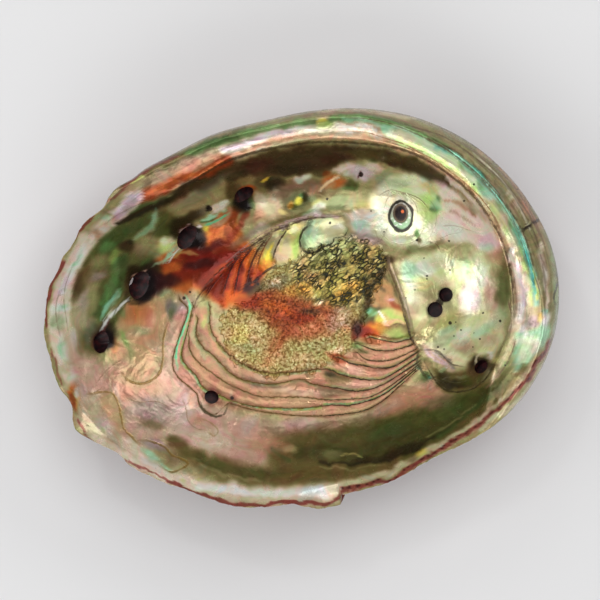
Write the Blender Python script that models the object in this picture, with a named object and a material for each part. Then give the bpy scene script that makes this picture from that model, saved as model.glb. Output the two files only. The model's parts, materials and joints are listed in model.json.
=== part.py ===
"""Abalone shell lying on its back with the hollow side up.

The shell is one natural solid. A bowl wall of nearly even thickness ends in a thin wavy
lip on the left and along the front. At the back and on the right it ends in a broad shelf
that leans in over the bowl. Four pores open through the wall. The outside carries growth
ridges around a low spire and a row of closed pores that winds towards it.

X runs along the length, with the spire end at +X. Y runs across, with the shelf at +Y.
"""

import math

import bmesh
import bpy
from mathutils import Matrix, Vector

MM = 0.001

# Driving dimensions in millimetres. Stations go counter-clockwise from +X at equal angles.

WALL = 3.2
LIP_WALL = 1.3
LIP_FOLD = 0.5

# Distance from the centre to the outline, every 15 degrees
OUTLINE = (
    89.6, 86.6, 82.6, 77.7, 72.6, 68.3, 66.1, 67.4, 70.0, 76.4, 82.3, 88.6,
    89.4, 88.1, 81.9, 75.7, 72.9, 68.9, 66.6, 68.2, 69.7, 77.7, 84.8, 89.0,
)
# Chips and lobes of the lip: angle, depth inwards, half width in degrees
CHIPS = (
    (131.0, 0.8, 3.0),
    (142.0, 1.7, 3.0),
    (153.0, 0.9, 3.0),
    (160.0, 0.9, 2.5),
    (174.0, -0.9, 3.0),
    (190.5, 1.7, 3.0),
    (197.0, -1.9, 3.0),
    (206.5, 1.5, 3.0),
)
# Chips and lobes only change the shell this close to its edge
CHIP_REACH = 8.0
# The lip stands out over these angles and ends in a clean break
LOBE_START = 255.0
LOBE_FULL = 264.0
LOBE_END = 269.5
LOBE_REACH = 3.3

# Bowl heights above the underside at 0, 20, 40, 60, 80 and 100 percent of the way from
# the centre to the outline, one row every 45 degrees
BOWL = (
    (4.6, 4.4, 5.2, 8.6, 20.0, 36.0),
    (4.6, 4.0, 5.2, 10.2, 23.5, 39.0),
    (4.6, 4.0, 5.2, 10.5, 24.5, 41.0),
    (4.6, 4.2, 5.8, 11.2, 24.5, 39.0),
    (4.6, 5.0, 7.6, 13.0, 23.0, 36.5),
    (4.6, 5.6, 8.8, 14.8, 25.0, 37.0),
    (4.6, 5.8, 9.2, 15.2, 25.5, 38.0),
    (4.6, 5.2, 7.8, 13.0, 24.5, 39.0),
)
# Width of the shelf, or of the flat lip, from its inner edge to the outline, every 15 degrees
SHELF_WIDTH = (
    17.0, 15.0, 13.3, 12.4, 11.4, 10.2, 9.8, 10.2, 11.8, 11.0, 6.0, 3.5,
    3.2, 3.2, 3.2, 3.2, 3.2, 3.2, 3.2, 3.4, 4.2, 8.0, 15.0, 16.4,
)
# How far the outer flank stands out past the crest of the rim, every 15 degrees
FLANK = (
    8.5, 7.8, 7.0, 5.2, 3.2, 2.6, 2.5, 2.2, 1.5, 0.9, 0.5, 0.4,
    0.4, 0.4, 0.4, 0.4, 0.4, 0.4, 0.4, 0.5, 1.2, 2.8, 3.2, 4.4,
)
FLANK_DROP_PER_MM = 3.0
FLANK_DROP_MAX = 11.0
# Height of the rim crest above the edge of the bowl, every 45 degrees
CREST_RISE = (8.0, 8.0, 7.0, 6.0, 4.0, 3.0, 3.0, 5.0)
SHELF_TILT = 4.0
SHELF_HOLLOW = 0.6
SHELF_EDGE = 1.4
UNDERCUT = 3.2
# Where the points of the rim lie across a plain lip, as shares of its width
LIP_SHARES = (1.0, 0.9, 0.8, 0.7, 0.6, 0.45, 0.3, 0.18, 0.08)
# The shelf is whole between these angles and fades out over SHELF_FADE beyond them
SHELF_FROM = -28.0
SHELF_TO = 128.0
SHELF_FADE = 22.0

# Spire apex on the outside, and the low boss of early whorls around it
SPIRE = (51.0, -12.0)
SPIRE_REACH = 13.0
SPIRE_HEIGHT = 3.6
WHORL_DEPTH = 0.9
# The row of pores is a spiral whose radius grows by this much for each radian
SPIRAL_GROWTH = 0.62
# Growth ridges are this share of the gap between them in height
RIDGE_STEEPNESS = 0.09
SWELL_HEIGHT = 0.9
SWELL_COUNT = 7
SWELL_FROM = 30.0
SWELL_WHOLE = 80.0
# Extra roundness low on the flank under the shelf
BELLY = 3.0

# Muscle scar in the middle of the bowl and the smooth pocket behind the spire
SCAR = (3.0, 0.5)
SCAR_REACH = 21.0
SCAR_HEIGHT = 1.1
POCKET = (51.0, -13.0)
POCKET_REACH = 15.0
POCKET_DEPTH = 1.2

# Open pores: place, long half width at the mouth and the direction of their groove
PORES = (
    (-70.9, 2.2, 4.4, 52.0),
    (-54.2, 19.3, 5.2, 48.0),
    (-34.2, 32.1, 4.9, 42.0),
    (-11.8, 42.4, 4.2, 40.0),
)
PORE_SLIMNESS = 0.78
# A pore is a funnel that runs outwards, leaning this many times as much as the bowl slopes
PORE_LEAN = 1.5
# Its radii below and above the bowl's surface, as shares of its mouth, and its length there
PORE_THROAT = 0.05
PORE_FLARE = 1.5
PORE_BELOW = 9.0
PORE_ABOVE = 5.0
# How far along its axis it comes out through the wall
PORE_LENGTH = 6.0
PORE_SIDES = 18
PORE_RIM_HEIGHT = 2.2
PORE_RIM_REACH = 6.5
# Closed pores follow the same spiral towards the spire
CLOSED_FIRST_ANGLE = 128.0
CLOSED_STEP_ANGLE = 12.5
CLOSED_COUNT = 6
CLOSED_START_RADIUS = 73.0
CLOSED_HEIGHT = 1.8

# Borings in the nacre: place, radius, depth below the surface
BORINGS = (
    (50.6, -6.2, 2.5, 2.3),
    (45.7, -10.6, 2.7, 2.3),
    (-37.5, -24.4, 2.5, 2.2),
    (57.0, -33.2, 2.6, 2.2),
)

BORING_CLEARANCE = 6.0
BORING_SIDES = 14

# Mesh divisions: around the shell, and along one section from floor to spire
AROUND = 108
BOWL_RINGS = 12
RIM_RINGS = 11
OUTSIDE_RINGS = 17
SECTION_STEPS = BOWL_RINGS + RIM_RINGS + OUTSIDE_RINGS + 1
CREST_STEP = BOWL_RINGS + 8

NACRE_COLOUR = (0.62, 0.56, 0.42, 1.0)
NACRE_ROUGHNESS = 0.22
RIND_COLOUR = (0.30, 0.09, 0.06, 1.0)
RIND_ROUGHNESS = 0.7


def smooth(value):
    """Ease from 0 to 1 with flat ends."""
    value = min(max(value, 0.0), 1.0)
    return value * value * (3.0 - 2.0 * value)


def through(before, first, second, after, part):
    """Smooth curve from the first to the second of four equally spaced values."""
    slope = second - before
    bend = 2.0 * before - 5.0 * first + 4.0 * second - after
    twist = 3.0 * (first - second) + after - before
    return first + 0.5 * part * (slope + part * (bend + part * twist))


def around(stations, angle):
    """Value at an angle in degrees from stations spread evenly over the full turn."""
    count = len(stations)
    place = (angle / 360.0 * count) % count
    index = int(place)
    near = [stations[(index + step) % count] for step in (-1, 0, 1, 2)]
    return through(*near, place - index)


def along(values, part):
    """Value at 0 to 1 along a list of evenly spaced values."""
    last = len(values) - 1
    place = min(max(part, 0.0), 1.0) * last
    index = min(int(place), last - 1)
    before = values[max(index - 1, 0)]
    after = values[min(index + 2, last)]
    if index == last - 1:
        after = 2.0 * values[last] - values[last - 1]
    return through(before, values[index], values[index + 1], after, place - index)


def hump(x, y, centre, reach):
    """Smooth round hump of height 1 at its centre."""
    distance = math.hypot(x - centre[0], y - centre[1]) / reach
    return math.exp(-distance * distance)


def outline_radius(angle):
    """Distance from the centre to the even outline."""
    return around(OUTLINE, angle)


def edge_wander(angle, inset):
    """How far the chips and the broken lobe move a point that is this far from the edge."""
    wander = 0.0
    for chip_angle, depth, half_width in CHIPS:
        away = (angle - chip_angle + 180.0) % 360.0 - 180.0
        wander -= depth * math.exp(-((away / half_width) ** 2))
    turn = angle % 360.0
    if LOBE_START < turn < LOBE_END:
        wander += LOBE_REACH * smooth((turn - LOBE_START) / (LOBE_FULL - LOBE_START))
    return wander * smooth(1.0 - inset / CHIP_REACH)


def shelf_strength(angle):
    """1 where the shelf is whole, 0 where there is only the thin lip."""
    middle = 0.5 * (SHELF_FROM + SHELF_TO)
    half = 0.5 * (SHELF_TO - SHELF_FROM)
    away = abs((angle - middle + 180.0) % 360.0 - 180.0)
    return 1.0 - smooth((away - half) / SHELF_FADE)


def bowl_base(part, angle):
    """Height of the plain bowl at a part of the way out to the outline."""
    return around([along(row, part) for row in BOWL], angle)


def bowl_height(x, y):
    """Height of the bowl's inner surface, with the scar and the pocket."""
    angle = math.degrees(math.atan2(y, x))
    part = math.hypot(x, y) / outline_radius(angle)
    scar = SCAR_HEIGHT * hump(x, y, SCAR, SCAR_REACH)
    pocket = POCKET_DEPTH * hump(x, y, POCKET, POCKET_REACH)
    return bowl_base(part, angle) + scar - pocket


def crest_height(angle):
    """Height of the rim's highest line."""
    return bowl_base(1.0, angle) + around(CREST_RISE, angle)


def shelf_profile(angle):
    """Points over the leaning shelf, from the wall of the bowl to the outline."""
    width = around(SHELF_WIDTH, angle)
    flank = around(FLANK, angle)
    wall_inset = width - UNDERCUT
    wall_height = bowl_base(1.0 - wall_inset / outline_radius(angle), angle)
    crest = crest_height(angle)
    edge = crest - SHELF_TILT
    under = edge - SHELF_EDGE
    drop = min(FLANK_DROP_PER_MM * flank, FLANK_DROP_MAX)
    reach = width - flank
    return (
        (wall_inset, wall_height),
        (wall_inset - 0.4, wall_height + 0.40 * (under - wall_height)),
        (wall_inset + 0.4 * UNDERCUT, wall_height + 0.85 * (under - wall_height)),
        (width, under + 0.3 * SHELF_EDGE),
        (width - 0.05 * reach, edge),
        (width - 0.40 * reach, edge + 0.35 * SHELF_TILT - SHELF_HOLLOW),
        (width - 0.75 * reach, edge + 0.75 * SHELF_TILT - 0.5 * SHELF_HOLLOW),
        (width - 0.96 * reach, crest),
        (0.78 * flank, crest - 0.12 * drop),
        (0.28 * flank, crest - 0.48 * drop),
        (0.0, crest - drop),
    )


def lip_profile(angle):
    """The same points where the bowl simply runs out to a thin lip."""
    width = around(SHELF_WIDTH, angle)
    points = []
    for share in LIP_SHARES:
        inset = share * width
        points.append((inset, bowl_base(1.0 - inset / outline_radius(angle), angle)))
    top = bowl_base(1.0, angle)
    points.append((0.3 * LIP_FOLD, top))
    points.append((0.0, top - LIP_FOLD))
    return points


def rim_profile(angle):
    """Points over the rim, from the wall of the bowl to the outline, as inset and height."""
    strength = shelf_strength(angle)
    mixed = []
    for shelf, lip in zip(shelf_profile(angle), lip_profile(angle)):
        inset = lip[0] + strength * (shelf[0] - lip[0])
        height = lip[1] + strength * (shelf[1] - lip[1])
        mixed.append((inset, height))
    return mixed


def swell(x, y):
    """Broad spiral swells of the outside, between 0 and 1."""
    east = x - SPIRE[0]
    north = y - SPIRE[1]
    radius = max(math.hypot(east, north), 1.0)
    turn = math.atan2(north, east) - math.log(radius) / SPIRAL_GROWTH
    return 0.5 + 0.5 * math.cos(SWELL_COUNT * turn)


def bowl_slope(x, y):
    """Rise of the bowl's inner surface for each step along X and along Y."""
    east = (bowl_height(x + 1.0, y) - bowl_height(x - 1.0, y)) / 2.0
    north = (bowl_height(x, y + 1.0) - bowl_height(x, y - 1.0)) / 2.0
    return east, north


def pore_axis(x, y):
    """Direction of a pore, from its outer end up into the bowl."""
    east, north = bowl_slope(x, y)
    return Vector((-PORE_LEAN * east, -PORE_LEAN * north, 1.0)).normalized()


def pore_exits():
    """Places where the open pores come out on the back."""
    places = []
    for x, y, _, _ in PORES:
        axis = pore_axis(x, y)
        places.append((x - PORE_LENGTH * axis.x, y - PORE_LENGTH * axis.y))
    return places


def closed_pores():
    """Places and sizes of the closed pores along the spiral."""
    places = []
    for index in range(CLOSED_COUNT):
        turn = math.radians(CLOSED_STEP_ANGLE * index)
        radius = CLOSED_START_RADIUS * math.exp(-SPIRAL_GROWTH * turn)
        direction = math.radians(CLOSED_FIRST_ANGLE) - turn
        x = SPIRE[0] + radius * math.cos(direction)
        y = SPIRE[1] + radius * math.sin(direction)
        places.append((x, y, radius / CLOSED_START_RADIUS))
    return places


PORE_EXITS = pore_exits()
CLOSED_PORES = closed_pores()


def outside_relief(x, y):
    """How far the spire, its whorls, the pores and the swells stand out from the wall."""
    distance = math.hypot(x - SPIRE[0], y - SPIRE[1])
    boss = hump(x, y, SPIRE, SPIRE_REACH)
    direction = math.atan2(y - SPIRE[1], x - SPIRE[0])
    turn = direction - math.log(max(distance, 1.0)) / SPIRAL_GROWTH
    relief = SPIRE_HEIGHT * boss + WHORL_DEPTH * boss * math.cos(turn)
    spread = smooth((distance - SWELL_FROM) / (SWELL_WHOLE - SWELL_FROM))
    relief += SWELL_HEIGHT * swell(x, y) * spread
    for place in PORE_EXITS:
        relief += PORE_RIM_HEIGHT * hump(x, y, place, PORE_RIM_REACH)
    for pore_x, pore_y, size in CLOSED_PORES:
        reach = 0.3 * PORE_RIM_REACH + 0.7 * PORE_RIM_REACH * size
        relief += CLOSED_HEIGHT * size * hump(x, y, (pore_x, pore_y), reach)
    return relief


def outside_point(angle, ring):
    """Point on the outside: each ring is the outline shrunk towards the spire."""
    share = 1.0 - (ring - 0.7) / (OUTSIDE_RINGS + 0.3)
    radius = outline_radius(angle)
    edge_x = radius * math.cos(math.radians(angle))
    edge_y = radius * math.sin(math.radians(angle))
    x = SPIRE[0] + share * (edge_x - SPIRE[0])
    y = SPIRE[1] + share * (edge_y - SPIRE[1])
    turn = math.degrees(math.atan2(y, x))
    part = math.hypot(x, y) / outline_radius(turn)
    strength = shelf_strength(turn)
    lip_wall = WALL + (LIP_WALL - WALL) * smooth((part - 0.8) / 0.2)
    wall = lip_wall + strength * (WALL - lip_wall)
    inner_part = part * (1.0 - wall / outline_radius(turn))
    fade = smooth(4.0 * share) * smooth(8.0 * (1.0 - share))
    gap = 2.0 * math.hypot(edge_x - SPIRE[0], edge_y - SPIRE[1]) / OUTSIDE_RINGS
    relief = RIDGE_STEEPNESS * gap * (ring % 2) * fade + outside_relief(x, y)
    relief *= smooth(12.0 * (1.0 - part))
    belly = strength * BELLY * math.sqrt(max(1.0 - part ** 12, 0.0)) * smooth((part - 0.5) / 0.4)
    height = bowl_base(inner_part, turn) - wall - relief - belly
    wander = 1.0 + edge_wander(angle, (1.0 - part) * radius) / radius
    return Vector((x * wander, y * wander, height))


def section_point(angle, step):
    """Point of the section at one angle, from the floor of the bowl to the spire."""
    direction = Vector((math.cos(math.radians(angle)), math.sin(math.radians(angle)), 0.0))
    radius = outline_radius(angle)
    if step <= BOWL_RINGS:
        wall_inset = rim_profile(angle)[0][0]
        share = (step / (BOWL_RINGS + 1.0)) ** 0.9
        x, y, _ = direction * (radius - wall_inset) * share
        return Vector((x, y, bowl_height(x, y)))
    if step <= BOWL_RINGS + RIM_RINGS:
        inset, height = rim_profile(angle)[step - BOWL_RINGS - 1]
        point = direction * (radius - inset + edge_wander(angle, inset))
        point.z = height
        return point
    return outside_point(angle, step - BOWL_RINGS - RIM_RINGS)


def make_material(name, colour, roughness):
    """Plain Principled material."""
    material = bpy.data.materials.new(name)
    material.use_nodes = True
    surface = material.node_tree.nodes["Principled BSDF"]
    surface.inputs["Base Color"].default_value = colour
    surface.inputs["Roughness"].default_value = roughness
    surface.inputs["Metallic"].default_value = 0.0
    return material


def section_step(vertex):
    """Which step of the section a point of the unit sphere stands for."""
    height = max(-1.0, min(1.0, vertex.co.z))
    return round(math.acos(height) / math.pi * SECTION_STEPS)


def spire_tip():
    """Lowest point of the spire on the outside."""
    angle = math.degrees(math.atan2(SPIRE[1], SPIRE[0]))
    part = math.hypot(*SPIRE) / outline_radius(angle)
    return Vector((*SPIRE, bowl_base(part, angle) - WALL - outside_relief(*SPIRE)))


def make_shell(collection):
    """Shape a sphere into the shell: its top lines the bowl and its bottom is the back."""
    shape = bmesh.new()
    bmesh.ops.create_uvsphere(shape, u_segments=AROUND, v_segments=SECTION_STEPS, radius=1.0)
    for face in shape.faces:
        face.smooth = True
        steps = [section_step(vertex) for vertex in face.verts]
        face.material_index = 1 if min(steps) >= CREST_STEP else 0
    for vertex in shape.verts:
        step = section_step(vertex)
        angle = math.degrees(math.atan2(vertex.co.y, vertex.co.x))
        if step == 0:
            vertex.co = Vector((0.0, 0.0, bowl_height(0.0, 0.0)))
        elif step == SECTION_STEPS:
            vertex.co = spire_tip()
        else:
            vertex.co = section_point(angle, step)
        vertex.co *= MM
    mesh = bpy.data.meshes.new("shell")
    shape.to_mesh(mesh)
    shape.free()
    mesh.materials.append(make_material("nacre", NACRE_COLOUR, NACRE_ROUGHNESS))
    mesh.materials.append(make_material("rind", RIND_COLOUR, RIND_ROUGHNESS))
    shell = bpy.data.objects.new("shell", mesh)
    collection.objects.link(shell)
    return shell


def move_to_collection(piece, collection):
    """Keep an object in one collection only."""
    for owner in list(piece.users_collection):
        owner.objects.unlink(piece)
    collection.objects.link(piece)


def turn_to(axis):
    """Shortest turn of the Z axis into another direction."""
    return Vector((0.0, 0.0, 1.0)).rotation_difference(axis).to_matrix().to_4x4()


def cut_with(shell, cutter, collection):
    """Take a cutter's shape out of the shell."""
    move_to_collection(cutter, collection)
    cutter.hide_render = True
    cutter.display_type = "WIRE"
    cut = shell.modifiers.new(cutter.name, "BOOLEAN")
    cut.operation = "DIFFERENCE"
    cut.solver = "EXACT"
    cut.object = cutter


def pore_cutter(index, x, y, mouth, groove):
    """Funnel of one open pore, longer along its groove than across."""
    bpy.ops.mesh.primitive_cone_add(
        vertices=PORE_SIDES,
        radius1=mouth * PORE_THROAT * MM,
        radius2=mouth * PORE_FLARE * MM,
        depth=(PORE_BELOW + PORE_ABOVE) * MM,
    )
    cutter = bpy.context.object
    cutter.name = f"pore_cutter_{index}"
    lift = Matrix.Translation((0.0, 0.0, 0.5 * (PORE_ABOVE - PORE_BELOW) * MM))
    slim = Matrix.Diagonal((1.0, PORE_SLIMNESS, 1.0, 1.0))
    turn = Matrix.Rotation(math.radians(groove), 4, "Z")
    cutter.data.transform(turn_to(pore_axis(x, y)) @ turn @ lift @ slim)
    cutter.location = Vector((x, y, bowl_height(x, y))) * MM
    return cutter


def boring_cutter(index, x, y, radius, depth):
    """Short round drill for one boring that stops inside the wall."""
    bpy.ops.mesh.primitive_cylinder_add(
        vertices=BORING_SIDES,
        radius=radius * MM,
        depth=(depth + BORING_CLEARANCE) * MM,
    )
    cutter = bpy.context.object
    cutter.name = f"boring_cutter_{index}"
    lift = Matrix.Translation((0.0, 0.0, 0.5 * (BORING_CLEARANCE - depth) * MM))
    east, north = bowl_slope(x, y)
    cutter.data.transform(turn_to(Vector((-east, -north, 1.0))) @ lift)
    cutter.location = Vector((x, y, bowl_height(x, y))) * MM
    return cutter


def stand_on_origin(shell, followers, collection):
    """Carry everything on an empty, so that the shell stands centred over the origin."""
    low = Vector([min(vertex.co[axis] for vertex in shell.data.vertices) for axis in range(3)])
    high = Vector([max(vertex.co[axis] for vertex in shell.data.vertices) for axis in range(3)])
    middle = 0.5 * (low + high)
    carrier = bpy.data.objects.new("carrier", None)
    carrier.location = (-middle.x, -middle.y, -low.z)
    collection.objects.link(carrier)
    for piece in [shell, *followers]:
        piece.parent = carrier


def main():
    for existing in list(bpy.data.objects):
        bpy.data.objects.remove(existing)
    parts = bpy.data.collections.new("abalone_shell")
    cutters = bpy.data.collections.new("cutters")
    bpy.context.scene.collection.children.link(parts)
    bpy.context.scene.collection.children.link(cutters)
    shell = make_shell(parts)
    tools = [pore_cutter(index, *pore) for index, pore in enumerate(PORES, 1)]
    tools += [boring_cutter(index, *boring) for index, boring in enumerate(BORINGS, 1)]
    for tool in tools:
        cut_with(shell, tool, cutters)
    stand_on_origin(shell, tools, parts)


main()
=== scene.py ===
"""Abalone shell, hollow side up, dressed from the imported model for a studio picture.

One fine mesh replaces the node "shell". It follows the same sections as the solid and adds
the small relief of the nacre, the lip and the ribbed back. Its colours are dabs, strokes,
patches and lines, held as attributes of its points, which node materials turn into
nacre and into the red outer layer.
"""

import json
import math

import bmesh
import bpy
import numpy as np
from mathutils import Matrix, Vector
from mathutils.kdtree import KDTree

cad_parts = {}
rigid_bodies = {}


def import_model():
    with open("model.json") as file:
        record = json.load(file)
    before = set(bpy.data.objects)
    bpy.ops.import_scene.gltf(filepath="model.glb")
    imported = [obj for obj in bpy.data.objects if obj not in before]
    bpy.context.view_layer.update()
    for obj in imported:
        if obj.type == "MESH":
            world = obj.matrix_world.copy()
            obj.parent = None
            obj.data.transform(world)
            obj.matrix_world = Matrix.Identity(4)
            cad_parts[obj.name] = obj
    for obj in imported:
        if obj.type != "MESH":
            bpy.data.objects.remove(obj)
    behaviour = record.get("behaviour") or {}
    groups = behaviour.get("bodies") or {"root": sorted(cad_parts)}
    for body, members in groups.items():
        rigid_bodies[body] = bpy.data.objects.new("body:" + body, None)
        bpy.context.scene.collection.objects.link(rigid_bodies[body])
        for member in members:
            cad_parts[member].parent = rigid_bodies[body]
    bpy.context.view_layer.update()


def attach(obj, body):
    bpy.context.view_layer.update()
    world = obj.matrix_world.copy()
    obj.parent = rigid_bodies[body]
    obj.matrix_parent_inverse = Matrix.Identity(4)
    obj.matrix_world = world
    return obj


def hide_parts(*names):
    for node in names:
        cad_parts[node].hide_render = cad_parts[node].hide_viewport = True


MM = 0.001

# Shape of the shell in millimetres, about the centre of its outline

CARRIER = (0.055, 1.881, 0.928)
WALL = 3.2
LIP_WALL = 1.3
LIP_FOLD = 0.5
OUTLINE = (
    89.6, 86.6, 82.6, 77.7, 72.6, 68.3, 66.1, 67.4, 70.0, 76.4, 82.3, 88.6,
    89.4, 88.1, 81.9, 75.7, 72.9, 68.9, 66.6, 68.2, 69.7, 77.7, 84.8, 89.0,
)
CHIPS = (
    (131.0, 0.8, 3.0),
    (142.0, 1.7, 3.0),
    (153.0, 0.9, 3.0),
    (160.0, 0.9, 2.5),
    (174.0, -0.9, 3.0),
    (190.5, 1.7, 3.0),
    (197.0, -1.9, 3.0),
    (206.5, 1.5, 3.0),
)
CHIP_REACH = 8.0
LOBE_START = 255.0
LOBE_FULL = 264.0
LOBE_END = 269.5
LOBE_REACH = 3.3
BOWL = (
    (4.6, 4.4, 5.2, 8.6, 20.0, 36.0),
    (4.6, 4.0, 5.2, 10.2, 23.5, 39.0),
    (4.6, 4.0, 5.2, 10.5, 24.5, 41.0),
    (4.6, 4.2, 5.8, 11.2, 24.5, 39.0),
    (4.6, 5.0, 7.6, 13.0, 23.0, 36.5),
    (4.6, 5.6, 8.8, 14.8, 25.0, 37.0),
    (4.6, 5.8, 9.2, 15.2, 25.5, 38.0),
    (4.6, 5.2, 7.8, 13.0, 24.5, 39.0),
)
SHELF_WIDTH = (
    17.0, 15.0, 13.3, 12.4, 11.4, 10.2, 9.8, 10.2, 11.8, 11.0, 6.0, 3.5,
    3.2, 3.2, 3.2, 3.2, 3.2, 3.2, 3.2, 3.4, 4.2, 8.0, 15.0, 16.4,
)
FLANK = (
    8.5, 7.8, 7.0, 5.2, 3.2, 2.6, 2.5, 2.2, 1.5, 0.9, 0.5, 0.4,
    0.4, 0.4, 0.4, 0.4, 0.4, 0.4, 0.4, 0.5, 1.2, 2.8, 3.2, 4.4,
)
FLANK_DROP_PER_MM = 3.0
FLANK_DROP_MAX = 11.0
CREST_RISE = (8.0, 8.0, 7.0, 6.0, 4.0, 3.0, 3.0, 5.0)
SHELF_TILT = 4.0
SHELF_HOLLOW = 0.6
SHELF_EDGE = 1.4
UNDERCUT = 3.2
LIP_SHARES = (1.0, 0.9, 0.8, 0.7, 0.6, 0.45, 0.3, 0.18, 0.08)
SHELF_FROM = -28.0
SHELF_TO = 128.0
SHELF_FADE = 22.0
SPIRE = (51.0, -12.0)
SPIRE_REACH = 13.0
SPIRE_HEIGHT = 3.6
WHORL_DEPTH = 0.9
SPIRAL_GROWTH = 0.62
GROWTH_RIDGES = 17
RIDGE_STEEPNESS = 0.09
SWELL_HEIGHT = 0.9
SWELL_COUNT = 7
SWELL_FROM = 30.0
SWELL_WHOLE = 80.0
BELLY = 3.0
SCAR = (3.0, 0.5)
SCAR_REACH = 21.0
SCAR_HEIGHT = 1.1
POCKET = (51.0, -13.0)
POCKET_REACH = 15.0
POCKET_DEPTH = 1.2
PORES = (
    (-70.9, 2.2, 4.4, 52.0),
    (-54.2, 19.3, 5.2, 48.0),
    (-34.2, 32.1, 4.9, 42.0),
    (-11.8, 42.4, 4.2, 40.0),
)
PORE_SLIMNESS = 0.78
PORE_LEAN = 1.5
PORE_THROAT = 0.05
PORE_FLARE = 1.5
PORE_BELOW = 9.0
PORE_ABOVE = 5.0
PORE_LENGTH = 6.0
PORE_RIM_HEIGHT = 2.2
PORE_RIM_REACH = 6.5
CLOSED_FIRST_ANGLE = 128.0
CLOSED_STEP_ANGLE = 12.5
CLOSED_COUNT = 6
CLOSED_START_RADIUS = 73.0
CLOSED_HEIGHT = 1.8
BORINGS = (
    (50.6, -6.2, 2.5, 2.3),
    (45.7, -10.6, 2.7, 2.3),
    (-37.5, -24.4, 2.5, 2.2),
    (57.0, -33.2, 2.6, 2.2),
)

# Mesh divisions

AROUND = 480
BOWL_RINGS = 118
RIM_RINGS = 32
OUTSIDE_RINGS = 46
EDGE_RING = BOWL_RINGS + RIM_RINGS
DRILL_SIDES = 48
BORING_CLEARANCE = 6.0
PORE_SLOT = 1
DRILL_SLOTS = 3

# Where the inside and the back lie on the texture square: middle and reach

INSIDE_DISC = ((0.5, 0.3), (0.49, 0.29))
BACK_DISC = ((0.5, 0.8), (0.49, 0.19))

# The photograph's frame: its size in pixels, the millimetres of a pixel at the rim, and the camera

PICTURE = 600
PIXEL = 0.3475
ROLL = 11.8
RIM_PLANE = 42.0
CAMERA_PLACE = (-0.13, 4.40)
CAMERA_HEIGHT = 3000.0
SENSOR = 36.0
VIEW_END = 20.0

# Studio: floor and lamps in metres and watts

FLOOR_HALF = 3.0
FLOOR_COLOUR = (0.76, 0.76, 0.765)
FLOOR_ROUGHNESS = 0.9
FLOOR_GLOSS = 0.1
WORLD_LIGHT = 0.22
LAMP_AIM = (0.0, 0.0, 0.02)
LAMPS = (
    ("key", (0.25, 0.32, 1.6), (1.2, 1.2), 9.4),
    ("east", (1.05, 0.7, 0.95), (0.9, 0.6), 4.6),
    ("west", (-1.25, 0.1, 0.95), (0.9, 0.6), 5.4),
    ("north", (-0.1, 1.25, 0.95), (0.9, 0.5), 2.8),
    ("south", (-0.3, -1.15, 1.1), (1.5, 0.8), 9.0),
    ("glint", (-0.25, 0.75, 1.3), (0.14, 0.14), 1.2),
)

# Looks of the nacre, the scar, the outer layer and the pores; sizes and heights in millimetres

CONTRAST = 0.4
GLOSS_LEVEL = 0.32
PEARL_SHEEN = 0.35
FOLD_SIZE = 7.0
FOLD_HEIGHT = 0.4
RIPPLE_SIZE = 1.3
RIPPLE_HEIGHT = 0.022
STREAK_SIZE = 1.1
STREAK_CONTRAST = 0.17
STREAK_HEIGHT = 0.07
GROOVE_DEPTH = 0.12
CELL_SIZE = 1.2
CELL_SHAPE = (2.3, 0.95, 1.0)
GRAIN_SIZE = 0.85
GRAIN_HEIGHT = 0.45
DUST_SPACING = 5.5
RIND_ROUGHNESS = 0.72
RIND_BANDS = 2.6
RIND_HEIGHT = 0.8
PORE_ROUGHNESS = 0.45
PORE_GLOSS = 0.25
SHARP_ANGLE = 50.0
COLOUR_FIELDS = ("paint", "seam_colour", "gleam_colour")

# Colours, as they look in even light; SHADE mostly stands for painted shade, and WHITE, SNOW, IVORY and
# BLUSH partly for painted highlights and sheen

BLACK = (30, 18, 16)
INK = (26, 12, 14)
MAROON = (62, 20, 22)
WINE = (96, 34, 30)
RED = (146, 44, 20)
RUST = (158, 66, 28)
EMBER = (158, 40, 14)
FLAME = (214, 92, 22)
ORANGE = (204, 104, 44)
AMBER = (214, 142, 48)
PEACH = (214, 168, 132)
SALMON = (196, 140, 112)
ROSE = (200, 162, 146)
DUSK = (150, 118, 98)
MAUVE = (168, 144, 150)
LILAC = (214, 192, 214)
PEARL = (236, 216, 206)
WHITE = (240, 242, 242)
SNOW = (255, 238, 228)
PALE = (232, 230, 186)
CREAM = (212, 202, 176)
SAND = (192, 172, 146)
KHAKI = (168, 156, 112)
STRAW = (206, 196, 122)
YELLOW = (222, 206, 72)
LIME = (168, 196, 104)
GREEN = (104, 144, 84)
LEAF = (74, 100, 52)
MOSS = (88, 92, 44)
OLIVE = (112, 94, 52)
BARK = (78, 58, 32)
SHADE = (52, 42, 22)
SAGE = (150, 166, 128)
MINT = (166, 214, 184)
AQUA = (110, 200, 186)
TEAL = (44, 134, 130)
SLATE = (110, 112, 106)
FLANK_TONE = (146, 134, 98)
FAN_TONE = (184, 124, 104)
CREST_TONE = (160, 146, 98)
RIND_RED = (150, 70, 64)
CLAY = (184, 138, 90)
CRIMSON = (142, 30, 18)
GARNET = (128, 32, 8)
DEEP = (84, 82, 42)
IVORY = (252, 252, 222)
BLUSH = (255, 232, 222)
SPRING = (206, 246, 150)

# The painted ground, in the photograph's pixels. Points are flat lists of x and y in turn.
# A dab is colour, x, y, reach across and down, cover, turn and softness. A stroke is colour, points,
# width, cover, softness and taper. A patch is colour, softness, points and cover.

# Pale lip on the left with painted white, mint and lilac highlights along its inner band, and the green
# flutes behind it

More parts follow.
